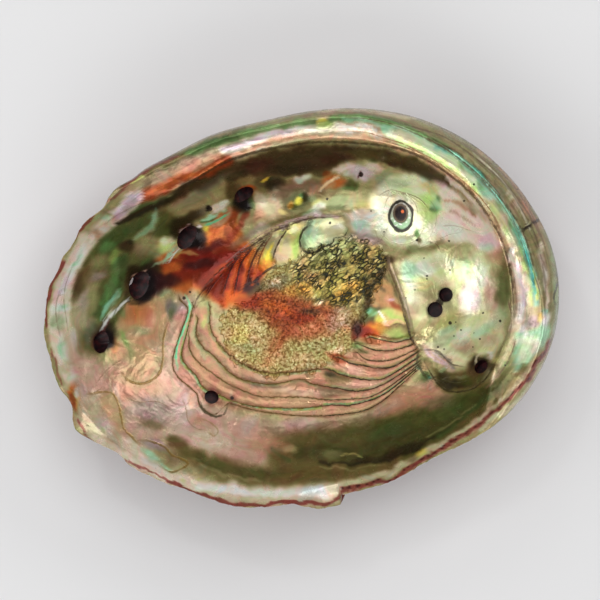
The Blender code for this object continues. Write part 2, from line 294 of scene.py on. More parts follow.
LEFT_RIM_PAINT = (
    (MOSS, 10, [84, 250, 96, 226, 120, 218, 150, 208, 176, 214, 168, 236, 150, 262, 128, 290, 100, 318,
     88, 344, 78, 330, 80, 290], 0.8),
    (PEARL, 6, [52, 300, 62, 266, 80, 238, 108, 216, 116, 222, 94, 244, 76, 282, 70, 330, 74, 362,
     92, 384, 78, 392, 62, 376, 50, 336], 0.9),
    (KHAKI, 90, 300, 9, 26, 0.8, -6), (SAND, 80, 312, 8, 22, 0.8, -4), (MAUVE, 84, 300, 5, 12, 0.5, -6),
    (OLIVE, 82, 278, 7, 20, 0.8, -20), (BARK, 78, 290, 4, 14, 0.5, -14),
    (DUSK, 97, 277, 12, 6, 0.7, 30), (MAUVE, 98, 277, 8, 3, 0.6, 32),
    (LEAF, 112, 240, 14, 11, 0.85, 30), (GREEN, 108, 246, 8, 6, 0.75, 30),
    (MOSS, 120, 232, 12, 8, 0.6, 20), (LEAF, 134, 228, 14, 5, 0.6, 30), (OLIVE, 92, 236, 9, 7, 0.5, 45),
    (SALMON, 95, 234, 6, 4, 0.5, 40), (LEAF, [124, 262, 119, 280, 108, 300, 100, 314], 12, 0.75),
    (GREEN, [116, 262, 112, 284, 104, 302], 7, 0.75), (LIME, [120, 250, 112, 262], 7, 0.5),
    (MINT, [117, 290, 112, 302, 103, 312], 4.5, 0.5), (AQUA, [111, 299, 104, 308], 3, 0.35),
    (WHITE, [124, 300, 116, 308, 108, 318, 100, 328], 3, 0.75), (KHAKI, 100, 262, 9, 7, 0.6, 30),
    # From here the pearl and white strokes and the white, mint and lilac dabs along the lip are painted
    # highlights
    (PEARL, [88, 240, 76, 260, 66, 282, 60, 302, 58, 322], 13, 0.9),
    (WHITE, [84, 246, 76, 262, 68, 278, 62, 292], 8, 1.0, 0.5, 0.3),
    (WHITE, [62, 334, 64, 350, 70, 366, 82, 378], 9, 0.9, 0.5, 0.3),
    (LILAC, [70, 330, 76, 346, 84, 364], 5, 0.6), (MINT, [79, 256, 73, 266], 4, 0.7),
    (LILAC, [66, 282, 61, 292], 5, 0.7), (MINT, 62, 308, 6, 3.4, 0.9), (WHITE, 56, 308, 4, 5, 0.6),
    (SAGE, 58, 322, 6, 8, 0.7), (CREAM, 68, 338, 7, 14, 0.8), (LILAC, 72, 340, 4, 9, 0.6),
    (MINT, 64, 348, 5, 9, 0.85, 8), (WHITE, 67, 352, 3.5, 7, 0.7, 10), (MINT, 76, 376, 8, 3.6, 0.9, 12),
    (WHITE, 72, 377, 4, 2, 0.8), (KHAKI, 66, 366, 6, 6, 0.5), (OLIVE, 84, 352, 6, 16, 0.55, 10),
    (SLATE, 91, 336, 7, 17, 0.5, 6), (MOSS, 92, 352, 7, 10, 0.6), (SAGE, 93, 374, 8, 6, 0.5, 30),
    (CREAM, 84, 386, 6, 5, 0.7), (SAND, 66, 388, 8, 4, 0.7, -10),
    (ORANGE, [68, 391, 73, 386, 79, 384], 5, 0.85), (RUST, [71, 396, 75, 405, 76, 412], 5, 0.85),
    (AMBER, [80, 390, 78, 400, 76, 408], 3, 0.7), (WHITE, 76, 394, 2.5, 5, 0.7, 10),
    (SAGE, 103, 216, 8, 4, 0.8, 30), (MINT, 106, 219, 5, 3, 0.6, 30),
)

# Olive and green hollows among the open pores, with painted shadows above the pores and painted highlights
# on the slopes beside them

UPPER_LEFT_PAINT = (
    (OLIVE, 9, [160, 205, 190, 188, 228, 168, 250, 176, 240, 196, 214, 212, 180, 222], 0.6),
    (KHAKI, 8, [168, 205, 190, 192, 216, 180, 230, 186, 222, 202, 200, 214, 180, 220], 0.8),
    (SLATE, 196, 196, 18, 7, 0.35, 26), (DUSK, 176, 200, 8, 5, 0.45, 30),
    (LEAF, [132, 214, 150, 206, 162, 198], 9, 0.7), (GREEN, [148, 216, 152, 208, 158, 200], 5, 0.5),
    (SAGE, [156, 209, 153, 221, 146, 231, 136, 238], 7, 0.8, 0.6, 0.4),
    (MINT, [154, 214, 150, 226], 3, 0.5), (MOSS, 140, 222, 10, 7, 0.5, 30),
    (BARK, 127, 247, 8, 5.5, 0.95, 10), (SHADE, 130, 243, 4, 3, 0.8, 10),
    (KHAKI, 148, 244, 12, 9, 0.85, -10), (DUSK, 140, 250, 7, 6, 0.5), (SALMON, 160, 240, 6, 5, 0.35),
    (LEAF, 146, 262, 10, 5, 0.6, 10), (STRAW, 163, 244, 5, 8, 0.85, 20),
    # Painted highlights: the white dab and the mint and white strokes on the slope beside the third pore
    (WHITE, 163, 241, 3, 5, 0.7, 15), (MINT, [172, 244, 167, 252, 163, 260], 4, 0.95),
    (WHITE, [175, 246, 170, 252, 164, 258], 2, 0.7), (MOSS, 168, 228, 9, 7, 0.7, 10),
    # Painted shadows: the SHADE dabs above and beside the third and second pores
    (SHADE, 176, 226, 8, 9, 0.85, 30), (SHADE, 190, 219, 16, 6, 0.85, 24),
    (SHADE, 142, 270, 13, 5.5, 0.9, 8), (SHADE, 131, 280, 5, 11, 0.85), (BARK, 127, 292, 4, 9, 0.6),
    # Painted highlights: the mint strokes, the pearl patch and the white dab between the third and fourth
    # pores
    (MINT, [204, 221, 214, 217, 226, 211], 3, 0.95), (LEAF, [202, 223, 214, 220, 228, 213], 2, 0.8),
    (PEARL, 3, [212, 208, 222, 202, 230, 200, 228, 207, 218, 213], 0.95),
    (WHITE, 224, 204, 5, 2.4, 0.8, 26), (SLATE, 205, 212, 8, 4, 0.4, 25),
    (BLACK, 210.5, 209, 2.2, 2.6, 0.95, 0, 0.3),
)

# Rose and sand layers between the contour lines and the lip, with a painted highlight along the lower lip

LOWER_LEFT_PAINT = (
    (ROSE, 14, [62, 330, 98, 362, 150, 352, 176, 300, 196, 300, 186, 350, 204, 395, 262, 420, 345, 424,
     425, 380, 448, 398, 425, 418, 370, 428, 308, 438, 270, 455, 255, 474, 205, 452, 165, 438, 148, 458,
     114, 442, 84, 414]),
    (SAND, 9, [78, 404, 96, 396, 112, 430, 140, 448, 152, 466, 190, 474, 262, 490, 336, 490, 336, 506,
     250, 508, 165, 482, 108, 454, 76, 424]),
    (SALMON, 138, 392, 26, 13, 0.55, 20), (SALMON, 122, 376, 14, 12, 0.5),
    (PEACH, 145, 352, 14, 26, 0.8, -8), (SALMON, 133, 376, 7, 7, 0.7),
    (KHAKI, 128, 350, 5, 16, 0.75, 12), (LIME, 125, 338, 3, 8, 0.6, 20),
    (PEACH, 4, [102, 392, 112, 392, 119, 402, 122, 416, 123, 430, 113, 430, 103, 412], 0.8),
    (MAUVE, 150, 412, 24, 17, 0.45), (SLATE, 152, 410, 20, 12, 0.22),
    (OLIVE, 150, 424, 18, 5, 0.55, -18), (ROSE, 135, 420, 9, 6, 0.8), (LILAC, 186, 410, 14, 20, 0.35),
    (PEARL, 190, 440, 26, 12, 0.35, -15), (PEACH, 192, 400, 5, 9, 0.6, 20),
    (SALMON, 196, 418, 8, 6, 0.55),
    (KHAKI, [124, 374, 130, 379, 140, 381, 150, 378, 157, 370, 160, 357, 161, 345, 163, 332], 7, 0.45,
     0.9),
    (KHAKI, [92, 394, 110, 396, 116, 403, 118, 415, 121, 428, 131, 440], 8, 0.4, 0.9),
    (SAND, [142, 443, 164, 450, 180, 462, 172, 469], 6, 0.5, 0.9), (MAUVE, 156, 446, 12, 5, 0.85, -12),
    (MINT, 150, 456, 10, 4, 0.85, -30), (MINT, 167, 468, 7, 3, 0.85, -30),
    (SAGE, 140, 462, 14, 5, 0.5, -25), (OLIVE, 176, 456, 16, 5, 0.4, -22),
    (DUSK, 176, 460, 10, 6, 0.45, -20), (GREEN, 170, 471, 4, 1.6, 0.8, -10),
    (CREAM, 150, 470, 12, 4, 0.5, -25), (PEARL, 130, 450, 12, 9, 0.6, -30),
    (LILAC, 104, 425, 10, 7, 0.4, -40),
    # The pearl, cream and white strokes along the lower lip are pale nacre with a painted highlight over it
    (PEARL, [130, 458, 160, 474, 200, 485, 245, 491, 300, 493, 336, 490], 14, 0.9),
    (CREAM, [170, 484, 210, 495, 250, 500, 300, 501], 5, 0.6),
    (WHITE, [200, 486, 235, 491, 268, 494, 300, 492, 325, 489], 7, 0.8),
    (PEARL, [95, 436, 122, 455, 160, 472], 8, 0.6), (LIME, 104, 430, 5, 2.5, 0.3, -40),
    (STRAW, 200, 478, 3, 2, 0.6), (STRAW, 184, 480, 3, 2, 0.5),
    (OLIVE, [173, 440, 195, 456, 228, 470, 270, 476, 318, 474], 20, 0.9, 0.7, 0.5),
    (MOSS, [200, 458, 235, 471, 280, 474], 8, 0.5), (KHAKI, [200, 464, 230, 476, 262, 480], 3, 0.5),
    (ROSE, 240, 446, 22, 12, 0.8, -15), (SALMON, 262, 446, 14, 7, 0.4, -15),
    (PEARL, 215, 440, 18, 10, 0.4, -10),
)

# Olive ground of the front wall of the bowl, darkened with painted shade

LOWER_RIGHT_PAINT = (
    (DUSK, 16, [262, 420, 330, 424, 400, 402, 440, 396, 475, 388, 500, 380, 490, 408, 440, 440,
     400, 458, 345, 470, 290, 468, 268, 452], 0.8),
    (OLIVE, 16, [276, 436, 320, 428, 380, 418, 430, 402, 480, 388, 505, 372, 500, 398, 462, 430,
     410, 462, 350, 478, 290, 480, 268, 462], 0.95),
    (MOSS, 14, [320, 436, 380, 420, 440, 400, 492, 382, 490, 400, 450, 430, 405, 455, 350, 462], 0.9),
    # The DEEP patch and the SHADE dabs and stroke below are painted shade on the steep wall
    (DEEP, 14, [300, 446, 350, 442, 390, 428, 430, 424, 462, 408, 484, 396, 478, 410, 440, 438,
     400, 458, 350, 462, 300, 458], 0.85),
    (SHADE, 404, 450, 24, 5, 0.75, 20), (LEAF, 388, 432, 22, 6, 0.45, 16),
    (OLIVE, 350, 440, 20, 7, 0.5, 6), (SHADE, 368, 460, 18, 4, 0.6, 12),
    (SHADE, [318, 462, 356, 464, 392, 458, 424, 444, 452, 426], 2.6, 0.6),
    (KHAKI, [322, 466, 352, 470, 384, 464], 2.2, 0.45),
    (KHAKI, [430, 436, 452, 422, 476, 404], 2.0, 0.45), (LEAF, [440, 436, 462, 420, 486, 398], 5, 0.5),
    (SALMON, 418, 396, 26, 10, 0.75, 14), (SALMON, 396, 410, 14, 7, 0.5, 20),
    (DUSK, 438, 402, 14, 7, 0.6, 20), (LEAF, 452, 408, 16, 9, 0.4, 25),
    (KHAKI, 290, 450, 8, 4, 0.75, 5), (KHAKI, 330, 455, 12, 4, 0.35),
    (STRAW, [340, 456, 352, 454, 362, 457], 2, 0.5),
    (LEAF, [270, 448, 278, 456, 290, 462], 3.5, 0.5, 0.9), (SALMON, 272, 442, 16, 9, 0.6, -25, 0.9),
    (SHADE, [326, 378, 350, 388, 372, 392], 5, 0.35, 0.9), (DUSK, 316, 420, 30, 7, 0.7),
    (MAUVE, 300, 424, 20, 5, 0.4), (OLIVE, [320, 478, 360, 474, 400, 462], 9, 0.6),
    (CREAM, [342, 486, 372, 478, 400, 466, 430, 450, 462, 432, 486, 414], 6, 0.7),
    (YELLOW, 422, 452, 6, 3.5, 0.55, 20), (OLIVE, 412, 458, 8, 4, 0.5, 20),
)

# Peach and green patches left of the contour lines, below the second pore

PORE_SIDE_PAINT = (
    (SALMON, 20, [126, 304, 140, 300, 160, 300, 170, 310, 166, 330, 150, 336, 130, 330], 0.8),
    (PEACH, 140, 320, 16, 22, 0.6, 0, 0.9), (ORANGE, 137, 312, 13, 10, 0.6, 40, 0.95),
    (PEACH, 158, 320, 8, 8, 0.6), (SAGE, 140, 330, 9, 6, 0.5), (GREEN, 123, 312, 3, 7, 0.6, 30),
    (SAGE, 163, 292, 8, 5, 0.7, 10), (KHAKI, 172, 296, 5, 5, 0.6), (SLATE, 172, 310, 5, 10, 0.8),
    (MOSS, 172, 316, 3, 7, 0.6), (MAUVE, 184, 312, 7, 12, 0.8), (ROSE, 176, 330, 7, 12, 0.7),
    (SALMON, 117, 352, 9, 10, 0.7), (ORANGE, 113, 345, 5, 6, 0.4), (GREEN, 126, 340, 3, 8, 0.4, 20),
)

# Red and orange stain from the open pores to the scar

STAIN_PAINT = (
    (ORANGE, 8, [150, 270, 168, 250, 200, 238, 222, 216, 236, 210, 238, 226, 250, 246, 276, 262,
     268, 296, 248, 306, 212, 300, 196, 290, 186, 292, 168, 288], 0.9),
    (RED, 9, [160, 268, 186, 252, 212, 242, 232, 240, 250, 258, 258, 282, 240, 300, 212, 296, 192, 282,
     174, 278], 0.96),
    (CRIMSON, 200, 260, 28, 12, 0.85, 6), (MAROON, 200, 264, 17, 5, 0.6, 4),
    (GARNET, 236, 272, 18, 15, 0.9, 30), (MAROON, 243, 284, 9, 5, 0.6, 30),
    (FLAME, 222, 270, 4, 9, 0.55, -40), (FLAME, 226, 292, 7, 5, 0.7, 20),
    (MAROON, 166, 280, 14, 7, 0.85, -4), (EMBER, 232, 280, 13, 10, 0.8, 20),
    (WINE, 212, 246, 12, 5, 0.6, 10), (RUST, 178, 262, 9, 5, 0.7, 30),
    (ORANGE, 176, 254, 8, 4, 0.9, 40), (SALMON, 178, 249, 5, 3, 0.6, 50),
    (ORANGE, 172, 268, 9, 5, 0.8, 20), (ORANGE, [222, 218, 216, 228, 206, 240], 9, 0.8),
    (SALMON, [232, 212, 222, 221, 214, 226], 7, 0.9), (PEACH, 220, 222, 5, 3.4, 0.7, 30),
    (RUST, [240, 208, 232, 220, 226, 234], 6, 0.8), (RED, [246, 214, 238, 226, 228, 238], 6, 0.7),
    (YELLOW, 206, 230, 2.6, 4, 0.85), (AMBER, 207, 236, 3, 3, 0.6), (FLAME, 231, 299, 10, 9, 0.9, -10),
    (RUST, 240, 303, 9, 5, 0.7), (RED, 222, 297, 4, 8, 0.7, 20), (FLAME, 246, 262, 4, 9, 0.9, 25),
    (EMBER, 236, 268, 3.4, 12, 0.8, 28), (RUST, [214, 252, 226, 248, 236, 246], 6, 0.6),
    (FLAME, 257, 262, 5, 10, 0.95, 24), (AMBER, 264, 263, 6, 9, 0.95, 20),
    (YELLOW, 267, 256, 4, 7, 0.95, 16), (FLAME, 262, 271, 5, 4, 0.8, 20),
    (EMBER, 256, 276, 8, 6, 0.8, 30), (MAROON, 250, 284, 9, 5, 0.8, 38),
    # The BARK dab on this row is painted shadow at the scar's upper left edge
    (BARK, 264, 284, 6, 4, 0.5, 20), (SLATE, 280, 272, 10, 6, 0.7, 24),
    (PEARL, 275, 280, 6, 5, 0.8, 24), (MAUVE, 258, 230, 16, 4, 0.55, 28),
    (FLAME, [229, 294, 232, 278, 240, 257], 4.4, 0.75, 0.8, 0.5),
    (FLAME, [240, 292, 245, 272, 253, 252], 4.4, 0.75, 0.8, 0.5),
    (FLAME, [251, 284, 257, 266, 264, 248], 4.4, 0.75, 0.8, 0.5), (DUSK, 240, 240, 12, 4, 0.6, 35),
)

# Dark hollows around the open pores, partly their own wine red and partly painted shade, with painted
# highlights on their pale rims and tails

PORES_PAINT = (
    (MOSS, [112, 322, 122, 304, 132, 292], 9, 0.8), (BARK, 213, 396, 12, 10, 0.6, 0, 0.4),
    (MAROON, 212.6, 396, 9.6, 8, 0.95, 0, 0.2), (SHADE, 232, 398, 4, 7, 0.8, -15),
    (MINT, 231, 394, 1.8, 4, 0.9, -15), (AQUA, 234, 401, 2.4, 2, 0.7),
    # Painted shade: the SHADE and INK dabs here and below darken the pores' hollows over their own wine and
    # maroon
    (SHADE, 105, 334, 12, 14, 0.85, -20, 0.4), (WINE, 99, 343, 8, 11, 0.9, -20, 0.4),
    (INK, 104, 340, 9, 12, 0.95, -20, 0.3),
    # Painted highlight: the white and mint strokes along the first pore's rim
    (WHITE, [128, 300, 118, 309, 108, 320, 100, 332], 2.6, 0.8, 0.8, 0.7),
    (MINT, [117, 294, 108, 305, 100, 318], 2.6, 0.5), (WINE, [110, 318, 101, 330, 96, 344], 2.4, 0.8),
    (SHADE, 147, 272, 15, 10, 0.9, 22, 0.4), (MAROON, 150, 284, 15, 12, 0.9, 0, 0.4),
    (INK, 143, 286, 13, 16, 0.97, -12, 0.25), (WINE, 137, 281, 5, 9, 0.7, -20, 0.5),
    (ROSE, [144, 269, 136, 275, 132, 284, 132, 294], 2.2, 0.8),
    # Painted highlights: the mint stroke and the SPRING and SNOW dabs beside the third pore
    (MINT, [186, 246, 176, 254, 164, 262, 150, 268], 3, 0.6, 0.8, 0.6),
    (SPRING, 166, 246, 8, 6, 0.6, 30, 0.8), (SNOW, 170, 240, 6, 4, 0.5, 30, 0.8),
    (BARK, [129, 272, 127, 286, 130, 302, 140, 303], 3.2, 0.7),
    (SHADE, 182, 228, 13, 9, 0.92, 30, 0.35), (INK, 192, 238, 12, 12, 0.97, 0, 0.3),
    (WINE, 186, 232, 6, 7, 0.75, 0, 0.5), (MAUVE, [189, 225, 182, 231, 180, 240, 182, 247], 2.2, 0.85),
    (STRAW, [196, 254, 184, 252, 176, 258], 2, 0.5), (SHADE, 244, 204, 11, 8, 0.9, 30, 0.4),
    (EMBER, 249, 191, 9, 6, 0.95, 0, 0.4), (FLAME, 251, 189, 5, 3, 0.7),
    # The two white dots are painted glints
    (INK, 245, 201, 9, 8, 0.95, 10, 0.3), (WHITE, 194.5, 227.5, 1.7, 1.7, 1.0, 0, 0.3),
    (WHITE, 200, 227.5, 1.7, 1.7, 1.0, 0, 0.3),
)

# Smooth panes between the fan lines above the scar

WINDOWS_PAINT = (
    (STRAW, 4, [276, 230, 292, 224, 304, 224, 300, 240, 300, 254, 284, 262, 273, 260], 0.9),
    (SAND, 6, [272, 240, 286, 234, 292, 246, 288, 258, 272, 262], 0.9), (PEACH, 282, 250, 8, 6, 0.4),
    (LIME, 297, 247, 4, 9, 0.75, -10), (CREAM, 296, 230, 6, 3, 0.7, 20),
    (SAGE, 4, [306, 222, 326, 218, 346, 226, 344, 236, 330, 246, 306, 250, 301, 240], 0.95),
    (PALE, 5, [310, 230, 324, 220, 344, 224, 342, 236, 324, 244, 308, 248], 0.75),
    (MINT, 312, 236, 8, 7, 0.5, 30), (WHITE, 338, 228, 6, 3, 0.4),
    (KHAKI, 5, [250, 252, 266, 236, 276, 232, 272, 246, 262, 262, 252, 268], 0.4),
)

# Small bright and dark patches along the closed pores

TOP_PAINT = (
    (OLIVE, 9, [252, 190, 282, 180, 322, 182, 322, 206, 300, 220, 270, 226, 252, 214], 0.7),
    (BARK, 290, 196, 20, 8, 0.6), (BARK, 232, 190, 8, 9, 0.7, 30), (DUSK, 300, 188, 26, 7, 0.85, 5),
    (BARK, 262, 182, 10, 5, 0.7), (SHADE, 274, 183, 9, 6, 0.95, 10),
    (YELLOW, [262, 181, 268, 179], 1.8, 0.7), (SAND, 270, 206, 15, 12, 0.85, 25),
    (SALMON, 258, 216, 9, 5, 0.6, 30), (PEARL, 262, 200, 5, 9, 0.5, 30), (STRAW, 284, 211, 5, 3, 0.7),
    (LEAF, 252, 204, 4, 5, 0.7, 30), (MOSS, 298, 201, 12, 10, 0.75), (YELLOW, 299, 201, 4, 3.4, 0.9),
    (GREEN, 303, 196, 3, 2.6, 0.8), (AMBER, 292, 204, 3, 3, 0.7), (SHADE, 306, 197, 3, 5, 0.6),
    (WHITE, 302, 179, 8, 3.4, 0.8, 12), (MINT, 299, 181, 4, 2.4, 0.6),
    (SALMON, 315, 190, 9, 4, 0.6, 30), (BARK, 318, 172, 12, 5, 0.7), (RUST, 328, 172, 5, 3.4, 0.7, 20),
    (ORANGE, 334, 181, 10, 6.5, 0.9), (PEACH, 330, 184, 5, 4, 0.6, 30),
    (CREAM, [320, 190, 325, 185, 332, 180, 338, 176], 2, 0.9), (PEARL, 344, 168, 9, 3.4, 0.85, 6),
    (WHITE, 347, 173, 4, 2, 0.6), (MOSS, 352, 184, 9, 5, 0.85), (GREEN, 350, 188, 8, 3, 0.5, 10),
    (LILAC, 362, 173, 12, 6.5, 0.9, -8), (PEARL, 374, 168, 8, 4, 0.8, -20),
    (WINE, 360, 174.5, 1.6, 3.4, 0.95, -30, 0.4), (LEAF, 378, 160, 9, 4, 0.6),
    (WINE, 393, 162, 7, 4.5, 0.9, 0, 0.35), (SAGE, 384, 178, 9, 5, 0.7), (SLATE, 384, 184, 8, 4, 0.4),
    (KHAKI, 6, [318, 200, 340, 192, 370, 190, 392, 186, 396, 198, 376, 206, 352, 212, 326, 214], 0.9),
    (SAGE, 340, 202, 16, 6, 0.5, 8), (STRAW, 364, 206, 10, 5, 0.6), (YELLOW, 366, 211, 3, 2.4, 0.7),
    (AMBER, 378, 196, 3.4, 3, 0.8), (SALMON, 375, 193, 4, 2, 0.5), (STRAW, 316, 203, 6, 2.6, 0.7, 40),
    (WHITE, 318, 207, 7, 3.4, 0.6, 35), (MINT, 310, 214, 7, 3.4, 0.4, 20),
    (LILAC, 316, 214, 5, 3, 0.6, 20), (SAGE, 312, 199, 5, 4, 0.5),
    (PEARL, 6, [344, 214, 366, 208, 384, 212, 388, 228, 372, 236, 352, 230], 0.8),
    (MINT, 360, 226, 9, 4, 0.6), (WHITE, 370, 216, 7, 4, 0.7), (LILAC, 366, 232, 8, 4, 0.5),
    (MAUVE, [282, 228, 298, 220, 314, 216, 338, 217], 4, 0.7),
)

# Pale ground around the ringed blister and the pink streaks right of it, lifted with painted sheen in ivory,
# snow, blush and white

EYE_SIDE_PAINT = (
    (IVORY, 12, [372, 192, 398, 176, 430, 172, 456, 192, 450, 228, 424, 248, 396, 246, 378, 232,
     372, 210], 0.92),
    (SPRING, 430, 206, 11, 14, 0.75, -20), (SNOW, 446, 178, 16, 8, 0.85, -30),
    (LILAC, 436, 170, 10, 4, 0.7, -20), (SAGE, 398, 184, 13, 4, 0.6, 8),
    (SPRING, 408, 194, 14, 5, 0.4, -10), (CREAM, 396, 200, 18, 7, 0.7),
    (LIME, 430, 214, 8, 12, 0.4, -20), (GREEN, 440, 199, 4, 3, 0.9, 20),
    (GREEN, 434, 210, 3.4, 4, 0.9, 30), (MINT, 436, 206, 5, 6, 0.6, 30),
    (STRAW, 432, 188, 10, 6, 0.6, -20), (WHITE, 432, 176, 8, 3.6, 0.85, -20),
    (MINT, 426, 178, 6, 4, 0.6), (LILAC, 444, 186, 9, 5, 0.6, -30), (PEARL, 456, 196, 12, 6, 0.7, -30),
    (BLUSH, 10, [440, 190, 462, 198, 490, 220, 501, 240, 492, 256, 470, 244, 440, 240, 428, 228,
     444, 212], 0.97),
    (SNOW, 470, 232, 24, 10, 0.9, -20), (SALMON, [446, 200, 462, 206, 478, 216], 4.5, 0.7, 0.7, 0.5),
    (DUSK, [448, 212, 462, 218, 478, 225], 3, 0.5, 0.7, 0.5),
    (PEACH, [452, 190, 468, 197, 482, 208], 4, 0.6, 0.7, 0.5), (PEARL, 470, 206, 9, 4, 0.7, -35),
    (KHAKI, 470, 196, 8, 5, 0.5, -40), (ROSE, 484, 212, 8, 5, 0.6, -45),
    (WHITE, 450, 230, 16, 6, 0.7, -10), (PEARL, 478, 234, 15, 9, 0.8, -30),
    (LILAC, 488, 240, 8, 6, 0.4, -30), (MINT, 486, 246, 6, 4, 0.5), (CREAM, 380, 232, 9, 9, 0.6),
    (WHITE, 382, 222, 5, 8, 0.6), (CREAM, 402, 238, 14, 4, 0.7, 10), (WHITE, 399, 241, 7, 2.6, 0.6, 10),
    (GREEN, 417, 233, 2.6, 5, 0.9, 20), (BARK, 420, 240, 2.6, 3, 0.8),
    (OLIVE, 430, 248, 12, 4.5, 0.6, 25), (MOSS, 414, 250, 10, 4, 0.5, 20),
)

# Smooth pocket behind the spire, with the borings, painted white highlights on its pale nacre and painted
# shade below its lower step and in the spire's hollow

POCKET_PAINT = (
    (PALE, 9, [398, 262, 420, 252, 450, 250, 484, 252, 502, 268, 508, 300, 504, 334, 490, 358, 462, 366,
     436, 352, 416, 344, 408, 316, 400, 288], 0.95),
    (OLIVE, 440, 302, 21, 15, 0.5, 45), (SAND, 440, 302, 15, 10, 0.5, 45),
    # Painted highlights: the WHITE dabs here and below are glints on the pocket's pale nacre
    (WHITE, 426, 268, 13, 8, 0.7, 10), (WHITE, 414, 296, 7, 12, 0.5, -20),
    (WHITE, 482, 276, 9, 14, 0.6, 20), (MINT, 410, 270, 11, 8, 0.75, -40),
    (WHITE, 407, 280, 4, 9, 0.6, 20), (KHAKI, 428, 292, 14, 12, 0.6, 20),
    (STRAW, 424, 284, 9, 6, 0.5, 30),
    (KHAKI, 8, [410, 316, 426, 322, 446, 316, 458, 300, 462, 284, 474, 292, 466, 316, 446, 334,
     424, 338, 412, 330], 0.85),
    (STRAW, 446, 320, 12, 6, 0.5, 30), (KHAKI, 424, 332, 12, 10, 0.85, 20),
    (OLIVE, 418, 338, 7, 7, 0.5, 20), (DUSK, 414, 310, 7, 8, 0.6), (SAND, 420, 300, 8, 8, 0.4),
    (LILAC, 472, 296, 9, 14, 0.7, 10), (WHITE, 466, 302, 8, 12, 0.6, 10), (MINT, 464, 270, 6, 9, 0.5),
    (SAGE, 456, 262, 10, 6, 0.5, -10), (CREAM, 440, 262, 12, 7, 0.7),
    (OLIVE, 458, 254, 14, 5, 0.4, -10), (ROSE, 492, 296, 8, 18, 0.75, 5),
    (SALMON, 496, 256, 9, 9, 0.65), (KHAKI, 498, 272, 10, 9, 0.7), (MOSS, 503, 290, 7, 22, 0.75, 3),
    (OLIVE, 506, 268, 5, 12, 0.5), (SAGE, 500, 318, 7, 10, 0.5), (MINT, 484, 330, 14, 5, 0.6, 35),
    (WHITE, 462, 332, 12, 4, 0.6, 35), (SAGE, 444, 340, 13, 5, 0.6, 20),
    (MINT, 446, 330, 8, 4, 0.5, 30), (SAND, 462, 346, 10, 6, 0.8, 20), (DUSK, 470, 352, 8, 5, 0.5, 20),
    (ROSE, 490, 340, 9, 7, 0.6, 30), (CREAM, 446, 352, 8, 5, 0.7), (KHAKI, 478, 344, 6, 6, 0.4),
    (ROSE, [424, 346, 432, 356, 442, 364, 454, 370], 7, 0.9),
    (LILAC, [426, 350, 434, 360, 446, 368], 3, 0.6), (SLATE, [436, 350, 446, 358, 456, 366], 4, 0.7),
    (OLIVE, 5, [430, 368, 446, 372, 466, 370, 486, 374, 494, 366, 490, 380, 474, 390, 456, 394,
     440, 388], 0.95),
    # Painted shade: the SHADE and BARK dabs below the crescent step and in the dark hollow of the spire; the
    # small WHITE dab is a painted glint
    (SHADE, 456, 384, 16, 5, 0.8), (SHADE, 442, 378, 7, 6, 0.6), (MOSS, 470, 380, 12, 5, 0.7, 5),
    (SAGE, 441, 371, 4, 2, 0.7), (SAGE, 462, 376, 7, 2, 0.4, 5), (KHAKI, 496, 376, 12, 9, 0.8, 40),
    (MOSS, 500, 382, 13, 8, 0.6, 40), (GREEN, 504, 364, 3, 4, 0.8), (WHITE, 489, 356, 4, 4, 0.7),
    (STRAW, 494, 360, 4, 3, 0.6, 30), (BARK, 491, 366, 4, 4, 0.6), (BARK, 479, 366, 10, 9, 0.9),
    (SHADE, 480, 364, 7, 7, 0.9), (KHAKI, [470, 358, 478, 355, 488, 357], 2.4, 0.8),
    (TEAL, 428, 378, 2, 3.4, 0.8, 30), (LEAF, 424, 376, 4, 5, 0.7, 30),
    (TEAL, 418, 367, 1.8, 3, 0.8, 40), (MOSS, 420, 362, 4, 5, 0.6), (SALMON, 424, 366, 5, 4, 0.6),
)

# Ground colours of the rough muscle scar

